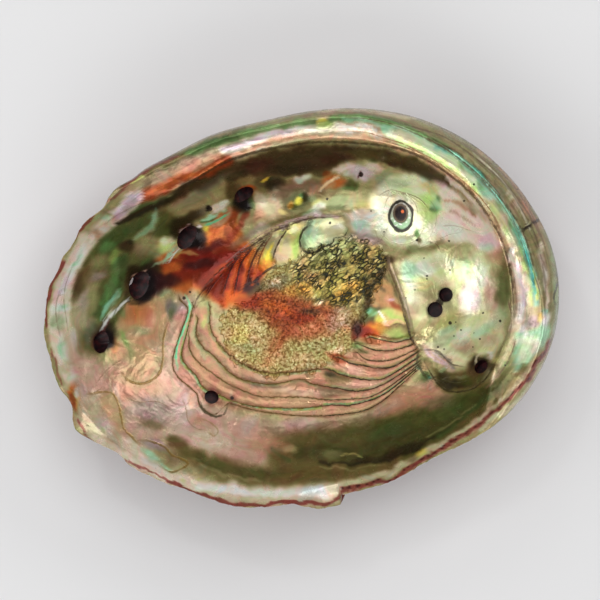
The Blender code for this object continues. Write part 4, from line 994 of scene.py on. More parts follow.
def through(before, first, second, after, part):
    """Smooth curve from the first to the second of four equally spaced values."""
    slope = second - before
    bend = 2.0 * before - 5.0 * first + 4.0 * second - after
    twist = 3.0 * (first - second) + after - before
    return first + 0.5 * part * (slope + part * (bend + part * twist))


def around(stations, angle):
    """Values at angles in degrees from stations spread evenly over the full turn."""
    stations = np.asarray(stations, float)
    count = len(stations)
    place = (np.asarray(angle, float) / 360.0 * count) % count
    index = np.floor(place).astype(int)
    near = [stations[(index + step) % count] for step in (-1, 0, 1, 2)]
    return through(*near, place - index)


def along_table(table, part, angle):
    """Value of a table of rows around the shell and columns out from its centre."""
    rows = np.asarray(table, float)
    last = rows.shape[1] - 1
    extended = np.column_stack([rows[:, 0], rows, 2.0 * rows[:, last] - rows[:, last - 1]])
    place = np.clip(part, 0.0, 1.0) * last
    index = np.minimum(np.floor(place).astype(int), last - 1)
    share = place - index
    count = len(rows)
    turn = (np.asarray(angle, float) / 360.0 * count) % count
    row = np.floor(turn).astype(int)
    values = []
    for step in (-1, 0, 1, 2):
        line = (row + step) % count
        near = [extended[line, index + offset] for offset in (0, 1, 2, 3)]
        values.append(through(*near, share))
    return through(*values, turn - row)


def hump(x, y, centre, reach):
    """Smooth round hump of height 1 at its centre."""
    return np.exp(-((x - centre[0]) ** 2 + (y - centre[1]) ** 2) / reach**2)


def angle_of(x, y):
    return np.degrees(np.arctan2(y, x))


def turn_between(angle, other):
    """Signed difference of two angles in degrees."""
    return (angle - other + 180.0) % 360.0 - 180.0


def outline_radius(angle):
    return around(OUTLINE, angle)


def edge_wander(angle, inset):
    """How far the chips and the broken lobe move a point that is this far from the edge."""
    wander = np.zeros_like(angle)
    for chip_angle, depth, half_width in CHIPS:
        wander = wander - depth * np.exp(-((turn_between(angle, chip_angle) / half_width) ** 2))
    turn = angle % 360.0
    lobe = smooth((turn - LOBE_START) / (LOBE_FULL - LOBE_START))
    wander = wander + np.where((turn > LOBE_START) & (turn < LOBE_END), LOBE_REACH * lobe, 0.0)
    return wander * smooth(1.0 - inset / CHIP_REACH)


def shelf_strength(angle):
    """1 where the shelf is whole, 0 where there is only the thin lip."""
    middle = 0.5 * (SHELF_FROM + SHELF_TO)
    half = 0.5 * (SHELF_TO - SHELF_FROM)
    return 1.0 - smooth((np.abs(turn_between(angle, middle)) - half) / SHELF_FADE)


def bowl_base(part, angle):
    return along_table(BOWL, part, angle)


def bowl_height(x, y):
    """Height of the bowl's inner surface with its broad forms."""
    angle = angle_of(x, y)
    part = np.hypot(x, y) / outline_radius(angle)
    scar = SCAR_HEIGHT * hump(x, y, SCAR, SCAR_REACH)
    pocket = POCKET_DEPTH * hump(x, y, POCKET, POCKET_REACH)
    return bowl_base(part, angle) + scar - pocket


def rim_profile(angle):
    """Insets and heights over the rim, from the wall of the bowl to the outline."""
    width = around(SHELF_WIDTH, angle)
    flank = around(FLANK, angle)
    radius = outline_radius(angle)
    strength = shelf_strength(angle)
    wall_inset = width - UNDERCUT
    wall_height = bowl_base(1.0 - wall_inset / radius, angle)
    crest = bowl_base(np.ones_like(angle), angle) + around(CREST_RISE, angle)
    edge = crest - SHELF_TILT
    under = edge - SHELF_EDGE
    drop = np.minimum(FLANK_DROP_PER_MM * flank, FLANK_DROP_MAX)
    reach = width - flank
    shelf = (
        (wall_inset, wall_height),
        (wall_inset - 0.4, wall_height + 0.40 * (under - wall_height)),
        (wall_inset + 0.4 * UNDERCUT, wall_height + 0.85 * (under - wall_height)),
        (width, under + 0.3 * SHELF_EDGE),
        (width - 0.05 * reach, edge),
        (width - 0.40 * reach, edge + 0.35 * SHELF_TILT - SHELF_HOLLOW),
        (width - 0.75 * reach, edge + 0.75 * SHELF_TILT - 0.5 * SHELF_HOLLOW),
        (width - 0.96 * reach, crest),
        (0.78 * flank, crest - 0.12 * drop),
        (0.28 * flank, crest - 0.48 * drop),
        (0.0 * flank, crest - drop),
    )
    lip = []
    for share in LIP_SHARES:
        inset = share * width
        lip.append((inset, bowl_base(1.0 - inset / radius, angle)))
    top = bowl_base(np.ones_like(angle), angle)
    lip.append((0.3 * LIP_FOLD + 0.0 * top, top))
    lip.append((0.0 * top, top - LIP_FOLD))
    insets = [low[0] + strength * (high[0] - low[0]) for high, low in zip(shelf, lip)]
    heights = [low[1] + strength * (high[1] - low[1]) for high, low in zip(shelf, lip)]
    return np.array(insets), np.array(heights)


def resample(points, count):
    """Smooth curve through profile points, read at an even number of places."""
    last = len(points) - 1
    padded = np.concatenate([2.0 * points[:1] - points[1:2], points, 2.0 * points[-1:] - points[-2:-1]])
    place = np.linspace(0.0, last, count + 1)[:-1]
    index = np.minimum(np.floor(place).astype(int), last - 1)
    share = (place - index).reshape((-1,) + (1,) * (points.ndim - 1))
    near = [padded[index + step] for step in (0, 1, 2, 3)]
    return through(*near, share)


def bowl_slope(x, y):
    """Rise of the bowl's inner surface for each step along X and along Y."""
    east = np.array([x + 1.0, x - 1.0, x, x])
    north = np.array([y, y, y + 1.0, y - 1.0])
    heights = bowl_height(east, north)
    return (heights[0] - heights[1]) / 2.0, (heights[2] - heights[3]) / 2.0


def pore_axis(x, y):
    """Direction of a pore, from its outer end up into the bowl."""
    east, north = bowl_slope(x, y)
    return Vector((-PORE_LEAN * east, -PORE_LEAN * north, 1.0)).normalized()


def pore_exits():
    """Places where the open pores come out on the back."""
    places = []
    for x, y, _, _ in PORES:
        axis = pore_axis(x, y)
        places.append((x - PORE_LENGTH * axis.x, y - PORE_LENGTH * axis.y))
    return places


def closed_pores():
    """Places and sizes of the closed pores along the spiral on the back."""
    turn = np.radians(CLOSED_STEP_ANGLE * np.arange(CLOSED_COUNT))
    radius = CLOSED_START_RADIUS * np.exp(-SPIRAL_GROWTH * turn)
    direction = math.radians(CLOSED_FIRST_ANGLE) - turn
    x = SPIRE[0] + radius * np.cos(direction)
    y = SPIRE[1] + radius * np.sin(direction)
    return list(zip(x, y, radius / CLOSED_START_RADIUS))


def outside_relief(x, y):
    """How far the spire, its whorls, the pores and the swells stand out from the wall."""
    east = x - SPIRE[0]
    north = y - SPIRE[1]
    distance = np.hypot(east, north)
    boss = hump(x, y, SPIRE, SPIRE_REACH)
    turn = np.arctan2(north, east) - np.log(np.maximum(distance, 1.0)) / SPIRAL_GROWTH
    relief = SPIRE_HEIGHT * boss + WHORL_DEPTH * boss * np.cos(turn)
    spread = smooth((distance - SWELL_FROM) / (SWELL_WHOLE - SWELL_FROM))
    relief = relief + SWELL_HEIGHT * (0.5 + 0.5 * np.cos(SWELL_COUNT * turn)) * spread
    for place in pore_exits():
        relief = relief + PORE_RIM_HEIGHT * hump(x, y, place, PORE_RIM_REACH)
    for pore_x, pore_y, size in closed_pores():
        reach = 0.3 * PORE_RIM_REACH + 0.7 * PORE_RIM_REACH * size
        relief = relief + CLOSED_HEIGHT * size * hump(x, y, (pore_x, pore_y), reach)
    return relief


def outside_ring(angle, ridge):
    """Points of one ring of the back; ridge counts the growth ridges in from the outline."""
    share = 1.0 - (ridge - 0.7) / (GROWTH_RIDGES + 0.3)
    radius = outline_radius(angle)
    edge_x = radius * np.cos(np.radians(angle))
    edge_y = radius * np.sin(np.radians(angle))
    x = SPIRE[0] + share * (edge_x - SPIRE[0])
    y = SPIRE[1] + share * (edge_y - SPIRE[1])
    turn = angle_of(x, y)
    part = np.hypot(x, y) / outline_radius(turn)
    strength = shelf_strength(turn)
    lip_wall = WALL + (LIP_WALL - WALL) * smooth((part - 0.8) / 0.2)
    wall = lip_wall + strength * (WALL - lip_wall)
    inner_part = part * (1.0 - wall / outline_radius(turn))
    fade = smooth(4.0 * share) * smooth(8.0 * (1.0 - share))
    gap = 2.0 * np.hypot(edge_x - SPIRE[0], edge_y - SPIRE[1]) / GROWTH_RIDGES
    wave = 0.5 - 0.5 * math.cos(math.pi * ridge)
    relief = RIDGE_STEEPNESS * gap * wave * fade + outside_relief(x, y)
    relief = relief * smooth(12.0 * (1.0 - part))
    roundness = np.sqrt(np.maximum(1.0 - part**12, 0.0)) * smooth((part - 0.5) / 0.4)
    height = bowl_base(inner_part, turn) - wall - relief - strength * BELLY * roundness
    wander = 1.0 + edge_wander(angle, (1.0 - part) * radius) / radius
    return np.column_stack([x * wander, y * wander, height])


def spire_tip():
    """Lowest point of the spire on the back."""
    x = np.array([SPIRE[0]])
    y = np.array([SPIRE[1]])
    turn = angle_of(x, y)
    part = np.hypot(x, y) / outline_radius(turn)
    height = bowl_base(part, turn) - WALL - outside_relief(x, y)
    return np.array([SPIRE[0], SPIRE[1], height[0]])


def section_rings():
    """All rings of points, from the middle of the bowl over the rim to the spire."""
    angle = 360.0 * np.arange(AROUND) / AROUND
    east = np.cos(np.radians(angle))
    north = np.sin(np.radians(angle))
    radius = outline_radius(angle)
    insets, heights = rim_profile(angle)
    rings = []
    for step in range(1, BOWL_RINGS + 1):
        reach = (radius - insets[0]) * (step / (BOWL_RINGS + 1.0)) ** 0.9
        x = reach * east
        y = reach * north
        rings.append(np.column_stack([x, y, bowl_height(x, y)]))
    profile = np.stack([insets, heights], axis=1)
    fine = np.concatenate([resample(profile, RIM_RINGS), profile[-1:]])
    for inset, height in zip(fine[:, 0], fine[:, 1]):
        reach = radius - inset + edge_wander(angle, inset)
        rings.append(np.column_stack([reach * east, reach * north, height]))
    for ridge in np.linspace(1.0, GROWTH_RIDGES, OUTSIDE_RINGS):
        rings.append(outside_ring(angle, ridge))
    return np.array(rings)


def disc_map(lengths, middle, reach):
    """Places of rings on a flat disc, by how far along the section each ring lies."""
    share = lengths / lengths[-1]
    angle = 2.0 * math.pi * np.arange(AROUND) / AROUND
    across = middle[0] + reach[0] * share * np.cos(angle)
    up = middle[1] + reach[1] * share * np.sin(angle)
    return np.stack([across, up], axis=-1)


def texture_places(rings):
    """Texture places of the rings: inside and rim on one disc, the back on another."""
    steps = np.linalg.norm(np.diff(rings, axis=0), axis=2)
    first = np.hypot(rings[:1, :, 0], rings[:1, :, 1])
    inside = np.concatenate([first, first + np.cumsum(steps[:EDGE_RING], axis=0)])
    back_first = np.linalg.norm(rings[-1:] - spire_tip(), axis=2)
    back_steps = steps[EDGE_RING:][::-1]
    back = np.concatenate([back_first, back_first + np.cumsum(back_steps, axis=0)])
    return disc_map(inside, *INSIDE_DISC), disc_map(back, *BACK_DISC)[::-1]


def ring_faces(count):
    """Four-sided faces between neighbouring rings; point 0 is the bowl's middle."""
    here = np.arange(AROUND)
    beside = (here + 1) % AROUND
    faces = []
    for ring in range(count - 1):
        inner = 1 + ring * AROUND
        outer = inner + AROUND
        faces.append(np.column_stack([inner + here, outer + here, outer + beside, inner + beside]))
    return np.array(faces)


def build_skin(rings):
    """The closed skin of the shell, before the holes are cut."""
    count = len(rings)
    places = [np.array([[0.0, 0.0, float(bowl_height(np.zeros(1), np.zeros(1))[0])]])]
    places += [rings.reshape(-1, 3), spire_tip().reshape(1, 3)]
    points = (np.concatenate(places) + CARRIER) * MM
    quads = ring_faces(count)
    here = np.arange(AROUND)
    beside = (here + 1) % AROUND
    last = len(points) - 1
    floor_fan = np.column_stack([np.zeros(AROUND, int), 1 + here, 1 + beside])
    outer = 1 + (count - 1) * AROUND
    spire_fan = np.column_stack([np.full(AROUND, last), outer + beside, outer + here])
    faces = quads.reshape(-1, 4).tolist() + floor_fan.tolist() + spire_fan.tolist()
    mesh = bpy.data.meshes.new("shell_nacre")
    mesh.from_pydata(points.tolist(), [], faces)
    inside, back = texture_places(rings)
    turned = [inside[:-1, here], inside[1:, here], inside[1:, beside], inside[:-1, beside]]
    inside_loops = np.stack(turned, axis=2)
    turned = [back[:-1, here], back[1:, here], back[1:, beside], back[:-1, beside]]
    back_loops = np.stack(turned, axis=2)
    floor_middle = np.broadcast_to(INSIDE_DISC[0], (AROUND, 2))
    floor_loops = np.stack([floor_middle, inside[0, here], inside[0, beside]], axis=1)
    spire_middle = np.broadcast_to(BACK_DISC[0], (AROUND, 2))
    spire_loops = np.stack([spire_middle, back[-1, beside], back[-1, here]], axis=1)
    loops = [part.reshape(-1, 2) for part in (inside_loops, back_loops, floor_loops, spire_loops)]
    layer = mesh.uv_layers.new(name="OFBake")
    layer.data.foreach_set("uv", np.concatenate(loops).astype(np.float32).ravel())
    mesh.update()
    return mesh


def drill_corner(mesh):
    """Put all texture places of a drill into a free corner."""
    layer = mesh.uv_layers.new(name="OFBake")
    for loop in mesh.loops:
        point = mesh.vertices[loop.vertex_index].co
        layer.data[loop.index].uv = (0.02 + 1.5 * abs(point.x), 0.02 + 1.5 * abs(point.y))


def turn_to(axis):
    """Shortest turn of the Z axis into another direction."""
    return Vector((0.0, 0.0, 1.0)).rotation_difference(axis).to_matrix().to_4x4()


def make_drill(shape_matrix, lower, upper, depth, place, sides):
    """Cone or cylinder that takes one hole out of the shell."""
    shape = bmesh.new()
    bmesh.ops.create_cone(
        shape,
        cap_ends=True,
        segments=sides,
        radius1=lower * MM,
        radius2=upper * MM,
        depth=depth * MM,
        matrix=shape_matrix,
    )
    mesh = bpy.data.meshes.new("drill")
    shape.to_mesh(mesh)
    shape.free()
    drill_corner(mesh)
    for _ in range(DRILL_SLOTS):
        mesh.materials.append(None)
    for face in mesh.polygons:
        face.material_index = PORE_SLOT
        face.use_smooth = True
    x, y = place
    height = float(bowl_height(np.array([x]), np.array([y]))[0])
    mesh.transform(Matrix.Translation((Vector((x, y, height)) + Vector(CARRIER)) * MM))
    return mesh


def pore_drill(x, y, mouth, groove):
    """Leaning funnel of one open pore."""
    lift = Matrix.Translation((0.0, 0.0, 0.5 * (PORE_ABOVE - PORE_BELOW) * MM))
    slim = Matrix.Diagonal((1.0, PORE_SLIMNESS, 1.0, 1.0))
    turn = Matrix.Rotation(math.radians(groove), 4, "Z")
    depth = PORE_BELOW + PORE_ABOVE
    matrix = turn_to(pore_axis(x, y)) @ turn @ lift @ slim
    return make_drill(matrix, mouth * PORE_THROAT, mouth * PORE_FLARE, depth, (x, y), DRILL_SIDES)


def boring_drill(x, y, radius, depth):
    """Round drill of one boring that stops inside the wall."""
    lift = Matrix.Translation((0.0, 0.0, 0.5 * (BORING_CLEARANCE - depth) * MM))
    east, north = bowl_slope(x, y)
    matrix = turn_to(Vector((-east, -north, 1.0))) @ lift
    return make_drill(matrix, radius, radius, depth + BORING_CLEARANCE, (x, y), DRILL_SIDES)


def drill_holes(shell):
    """Cut the open pores and the borings, and keep the result as a plain mesh."""
    drills = [pore_drill(*pore) for pore in PORES]
    drills += [boring_drill(*boring) for boring in BORINGS]
    for index, mesh in enumerate(drills):
        drill = bpy.data.objects.new(f"drill_{index}", mesh)
        bpy.context.scene.collection.objects.link(drill)
        cut = shell.modifiers.new(drill.name, "BOOLEAN")
        cut.operation = "DIFFERENCE"
        cut.solver = "EXACT"
        cut.material_mode = "INDEX"
        cut.object = drill
    bpy.context.view_layer.update()
    seen = shell.evaluated_get(bpy.context.evaluated_depsgraph_get())
    whole = bpy.data.meshes.new_from_object(seen)
    shell.modifiers.clear()
    shell.data = whole
    for index in range(len(drills)):
        bpy.data.objects.remove(bpy.data.objects[f"drill_{index}"])


def make_camera():
    """Camera straight above, turned so that the shell lies as in the photograph."""
    camera_data = bpy.data.cameras.new("camera")
    camera_data.type = "PERSP"
    camera_data.sensor_width = SENSOR
    camera_data.lens = SENSOR * (CAMERA_HEIGHT - RIM_PLANE) / (PICTURE * PIXEL)
    camera_data.clip_end = VIEW_END
    camera = bpy.data.objects.new("camera", camera_data)
    camera.location = Vector((*CAMERA_PLACE, CAMERA_HEIGHT)) * MM
    camera.rotation_euler = (0.0, 0.0, -math.radians(ROLL))
    bpy.context.scene.collection.objects.link(camera)
    bpy.context.scene.camera = camera


def make_floor():
    """Plain pale floor under the shell."""
    mesh = bpy.data.meshes.new("floor")
    half = FLOOR_HALF
    corners = [(-half, -half, 0.0), (half, -half, 0.0), (half, half, 0.0), (-half, half, 0.0)]
    mesh.from_pydata(corners, [], [(0, 1, 2, 3)])
    floor = bpy.data.objects.new("floor", mesh)
    bpy.context.scene.collection.objects.link(floor)
    material = bpy.data.materials.new("floor")
    material.use_nodes = True
    surface = material.node_tree.nodes["Principled BSDF"]
    surface.inputs["Base Color"].default_value = (*FLOOR_COLOUR, 1.0)
    surface.inputs["Roughness"].default_value = FLOOR_ROUGHNESS
    surface.inputs["Specular IOR Level"].default_value = FLOOR_GLOSS
    mesh.materials.append(material)


def make_light(name, place, size, watts):
    """Large soft lamp that looks at the shell."""
    lamp_data = bpy.data.lights.new(name, "AREA")
    lamp_data.shape = "RECTANGLE"
    lamp_data.size = size[0]
    lamp_data.size_y = size[1]
    lamp_data.energy = watts
    lamp = bpy.data.objects.new(name, lamp_data)
    lamp.location = place
    aim = Vector(LAMP_AIM) - Vector(place)
    lamp.rotation_euler = aim.to_track_quat("-Z", "Y").to_euler()
    bpy.context.scene.collection.objects.link(lamp)


def make_world(strength):
    """Even white light from all around."""
    world = bpy.data.worlds.new("world")
    world.use_nodes = True
    background = world.node_tree.nodes["Background"]
    background.inputs["Color"].default_value = (1.0, 1.0, 1.0, 1.0)
    background.inputs["Strength"].default_value = strength
    bpy.context.scene.world = world


def lattice_noise(x, y, scale, seed):
    """Smooth noise between -1 and 1 that changes over about one scale."""
    table = np.random.default_rng(seed).uniform(-1.0, 1.0, (64, 64))
    across = np.asarray(x) / scale + 1000.0
    down = np.asarray(y) / scale + 1000.0
    column = np.floor(across).astype(int)
    row = np.floor(down).astype(int)
    right = smooth(across - column)
    below = smooth(down - row)
    near = table[row % 64, column % 64] * (1.0 - right) + table[row % 64, (column + 1) % 64] * right
    next_row = (row + 1) % 64
    far = table[next_row, column % 64] * (1.0 - right) + table[next_row, (column + 1) % 64] * right
    return near * (1.0 - below) + far * below


def curve_through(points, steps=5):
    """Points of a smooth curve through given points, given as x and y in turn."""
    points = np.asarray(points, float).reshape(-1, 2)
    if len(points) < 3:
        return points
    ends = [2.0 * points[:1] - points[1:2], points, 2.0 * points[-1:] - points[-2:-1]]
    padded = np.concatenate(ends)
    place = np.linspace(0.0, len(points) - 1.0, (len(points) - 1) * steps + 1)
    index = np.minimum(np.floor(place).astype(int), len(points) - 2)
    near = [padded[index + step] for step in (0, 1, 2, 3)]
    return through(*near, (place - index)[:, None])


def path_distance(x, y, points):
    """Signed distance to a path, and the distance along it as a share of its length."""
    best = np.full(x.shape, 1e9)
    side = np.zeros(x.shape)
    along = np.zeros(x.shape)
    lengths = np.hypot(*np.diff(points, axis=0).T)
    whole = max(lengths.sum(), 1e-6)
    passed = 0.0
    for start, end, length in zip(points[:-1], points[1:], lengths):
        run = (end - start) / max(length, 1e-6)
        east = x - start[0]
        south = y - start[1]
        share = np.clip(east * run[0] + south * run[1], 0.0, length)
        off_x = east - share * run[0]
        off_y = south - share * run[1]
        distance = np.hypot(off_x, off_y)
        closer = distance < best
        best = np.where(closer, distance, best)
        side = np.where(closer, np.sign(run[0] * south - run[1] * east), side)
        along = np.where(closer, (passed + share) / whole, along)
        passed += length
    return best * np.where(side == 0.0, 1.0, side), along


def paint_wander(across, down, seed):
    """Wide and fine unevenness of the painted shapes, in pixels."""
    (wide, wide_size), (fine, fine_size) = PAINT_WANDER
    shift = wide * lattice_noise(across, down, wide_size, seed)
    return shift + fine * lattice_noise(across, down, fine_size, seed + 1)


class Paint:
    """Colours of many points, laid down in soft dabs, strokes and patches."""

    def __init__(self, across, down, ground):
        self.across = across + paint_wander(across, down, 1)
        self.down = down + paint_wander(across, down, 3)
        self.colour = np.tile(np.array(ground, float), (len(across), 1))

    def lay(self, colour, cover, where=slice(None)):
        cover = np.clip(cover, 0.0, 1.0)[:, None]
        self.colour[where] += cover * (np.array(colour, float) - self.colour[where])

    def within(self, low, high, margin):
        across = (self.across > low[0] - margin) & (self.across < high[0] + margin)
        return np.nonzero(across & (self.down > low[1] - margin) & (self.down < high[1] + margin))[0]

    def dab(self, colour, place, reach, cover=1.0, turn=0.0, soft=0.48):
        """Soft ellipse; turn is counter-clockwise as seen."""
        margin = (1.0 + soft) * max(reach)
        where = self.within(place, place, margin)
        east = self.across[where] - place[0]
        north = place[1] - self.down[where]
        cosine = math.cos(math.radians(turn))
        sine = math.sin(math.radians(turn))
        long = (east * cosine + north * sine) / reach[0]
        short = (north * cosine - east * sine) / reach[1]
        distance = np.hypot(long, short)
        self.lay(colour, cover * smooth((1.0 + soft - distance) / (2.0 * soft)), where)

    def stroke(self, colour, points, width, cover=1.0, soft=0.55, taper=0.0):
        """Soft line along a smooth curve; taper narrows it towards both ends."""
        path = curve_through(points)
        half = 0.5 * width
        where = self.within(path.min(axis=0), path.max(axis=0), half * (1.0 + soft))
        distance, along = path_distance(self.across[where], self.down[where], path)
        if taper:
            half = half * (1.0 - taper * (2.0 * along - 1.0) ** 2)
        reach = (half * (1.0 + soft) - np.abs(distance)) / (2.0 * half * soft)
        self.lay(colour, cover * smooth(reach), where)

    def patch(self, colour, outline, soft=6.0, cover=1.0):
        """Filled smooth outline whose edge fades over the soft distance."""
        path = curve_through([*outline, *outline[:2]], 4)
        where = self.within(path.min(axis=0), path.max(axis=0), soft)
        x = self.across[where]
        y = self.down[where]
        distance = np.abs(path_distance(x, y, path)[0])
        inside = np.zeros(len(x), bool)
        for start, end in zip(path[:-1], path[1:]):
            crosses = (start[1] > y) != (end[1] > y)
            rise = end[1] - start[1]
            reach = start[0] + (y - start[1]) * (end[0] - start[0]) / (rise if rise else 1.0)
            inside ^= crosses & (x < reach)
        signed = np.where(inside, distance, -distance)
        self.lay(colour, cover * smooth(0.5 + signed / soft), where)


def lay_rows(paint, rows):
    """Lay rows down in order: a stroke has its points second, a patch third, and a dab has none."""
    for colour, first, second, *rest in rows:
        if isinstance(first, list):
            paint.stroke(colour, first, second, *rest)
        elif isinstance(second, list):
            paint.patch(colour, second, first, *rest)
        else:
            paint.dab(colour, (first, second), rest[:2], *rest[2:])


def paint_ground(paint):
    """All painted colours, from the left rim to the notches of the broken edge."""
    for rows in PAINT_TABLES:
        lay_rows(paint, rows)
    for index, place in enumerate(curve_through(RIND_EDGE, 5)):
        shift = NOTCH_SHIFT * math.cos(NOTCH_BEAT * index)
        paint.dab(MAROON, (place[0] + shift, place[1] - 1.0), NOTCH_REACH, 0.6, NOTCH_TURN)
        paint.dab(ROSE, (place[0] + 2.0 - shift, place[1] + 1.2), NOTCH_REACH, 0.45, NOTCH_TURN)
    lay_rows(paint, RIND_PAINT)


def linear(colour):
    """8-bit display colours as linear light."""
    share = np.clip(np.asarray(colour, float) / 255.0, 0.0, 1.0)
    return np.where(share < 0.04045, share / 12.92, ((share + 0.055) / 1.055) ** 2.4)


def picture_places(points):
    """Where points in metres fall in the photograph's frame, in pixels."""
    cosine = math.cos(math.radians(ROLL))
    sine = math.sin(math.radians(ROLL))
    east = points[:, 0] / MM - CAMERA_PLACE[0]
    north = points[:, 1] / MM - CAMERA_PLACE[1]
    away = CAMERA_HEIGHT - points[:, 2] / MM
    scale = (CAMERA_HEIGHT - RIM_PLANE) / (PIXEL * away)
    across = 0.5 * PICTURE + scale * (east * cosine - north * sine)
    down = 0.5 * PICTURE - scale * (east * sine + north * cosine)
    return across, down


def contour_polar(across, down):
    """Angle and distance of places from the middle of the layer lines."""
    east = across - CONTOUR_CENTRE[0]
    north = CONTOUR_CENTRE[1] - down
    return np.degrees(np.arctan2(north, east)) % 360.0, np.hypot(east, north)


def contour_field(across, down):
    """Count of the layer lines passed inwards, with the gap, cover and glow at each point."""
    angle, reach = contour_polar(across, down)
    radii = []
    covers = []
    for points, _, _ in CONTOURS:
        path = curve_through(points)
        turn, away = contour_polar(path[:, 0], path[:, 1])
        order = np.argsort(turn)
        radius = np.interp(angle, turn[order], away[order])
        if radii:
            radius = np.minimum(radius, radii[-1] - CONTOUR_LEAST_GAP)
        radii.append(radius)
        start = smooth((angle - turn.min() + CONTOUR_FADE) / CONTOUR_FADE)
        end = smooth((turn.max() + CONTOUR_FADE - angle) / CONTOUR_FADE)
        covers.append(start * end)
    field = (radii[0] - reach) / CONTOUR_OUTER_GAP
    gap = np.full(len(across), CONTOUR_OUTER_GAP)
    for index in range(len(radii) - 1):
        space = radii[index] - radii[index + 1]
        passed = reach < radii[index]
        field = np.where(passed, index + (radii[index] - reach) / space, field)
        gap = np.where(passed, space, gap)
    innermost = reach < radii[-1]
    field = np.where(innermost, len(radii) - 1 + (radii[-1] - reach) / CONTOUR_OUTER_GAP, field)
    gap = np.where(innermost, CONTOUR_OUTER_GAP, gap)
    field = np.clip(field, -0.6, len(radii) - 0.4)
    nearest = np.clip(np.round(field), 0, len(radii) - 1).astype(int)
    fade = smooth((field + 0.55) / 0.1) * smooth((len(radii) - 0.45 - field) / 0.1)
    cover = np.array(covers)[nearest, np.arange(len(across))] * fade
    half_widths = np.array([line[1] for line in CONTOURS])
    glows = np.array([line[2] for line in CONTOURS])
    return field, gap / half_widths[nearest], cover, cover * glows[nearest]


def line_field(across, down, lines):
    """Distance to the nearest of some lines in half widths, with its cover and colour."""
    best = np.full(len(across), 1e9)
    measure = np.full(len(across), 50.0)
    cover = np.zeros(len(across))
    colour = np.zeros((len(across), 3))
    for points, half_width, tint, strength in lines:
        path = curve_through(points)
        low = path.min(axis=0) - SEAM_NEAR
        high = path.max(axis=0) + SEAM_NEAR
        near = (across > low[0]) & (across < high[0]) & (down > low[1]) & (down < high[1])
        where = np.nonzero(near)[0]
        distance, along = path_distance(across[where], down[where], path)
        closer = np.abs(distance) < best[where]
        where = where[closer]
        distance = distance[closer]
        taper = smooth(6.0 * along[closer]) * smooth(6.0 * (1.0 - along[closer]))
        best[where] = np.abs(distance)
        measure[where] = distance / half_width
        cover[where] = strength * (0.4 + 0.6 * taper) * smooth(2.0 - 2.0 * np.abs(distance) / SEAM_NEAR)
        colour[where] = tint
    return measure, cover, colour


def outline_mask(across, down, outline, soft):
    """1 inside a smooth outline and 0 outside it."""
    mask = Paint(across, down, (0.0, 0.0, 0.0))
    mask.patch((1.0, 1.0, 1.0), outline, soft)
    return mask.colour[:, 0]


def line_bump(across, down, points, half_width):
    """1 on a line, falling to 0 beside it."""
    distance, _ = path_distance(across, down, curve_through(points))
    return np.exp(-((distance / half_width) ** 2))


def bowl_relief(across, down, scar):
    """Height of the small forms of the bowl above its smooth surface, in millimetres."""
    relief = np.zeros(len(across))
    for height, size, seed in UNDULATIONS:
        relief += height * lattice_noise(across, down, size, seed)
    for place in PORE_HOLLOWS:
        relief -= PORE_HOLLOW_DEPTH * hump(across, down, place, PORE_HOLLOW_REACH)
    for x, y, reach, height in KNOBS:
        relief += height * hump(across, down, (x, y), reach)
    relief += EYE_HEIGHT * hump(across, down, EYE_CENTRE, EYE_REACH[1])
    for points, half_width, height in LINE_FORMS:
        relief += height * line_bump(across, down, points, half_width)
    for line in FAN_LINES:
        relief -= FAN_LINE_DEPTH * line_bump(across, down, line[0], FAN_LINE_REACH)
    field, _, cover, _ = contour_field(across, down)
    relief += TERRACE * cover * (np.clip(field, 0.0, 9.0) - 2.0 * (field - np.round(field)))
    lumps = lattice_noise(across, down, 4.0, 13) + 0.7 * lattice_noise(across, down, 2.3, 14)
    relief += SCAR_LUMPS * scar * (1.0 + lumps)
    return relief


def lip_wave(angle, inset):
    """Rise and fall of the thin lip, which fades out inwards and under the shelf."""
    wave = np.zeros_like(angle)
    for count, height, start in LIP_WAVES:
        wave = wave + height * np.cos(np.radians(count * angle) + start)
    return wave * np.exp(-((inset / LIP_WAVE_REACH) ** 2)) * (1.0 - shelf_strength(angle))


def edge_crumble(angle, inset):
    """Fine chipping of the outline."""
    coarse = lattice_noise(angle, 0.0 * angle, 3.0, 21)
    fine = lattice_noise(angle, 0.0 * angle, 0.9, 22)
    calm = 1.0 - 0.85 * shelf_strength(angle)
    return EDGE_CRUMBLE * calm * (coarse + 0.7 * fine) * smooth(1.0 - inset / 3.0)


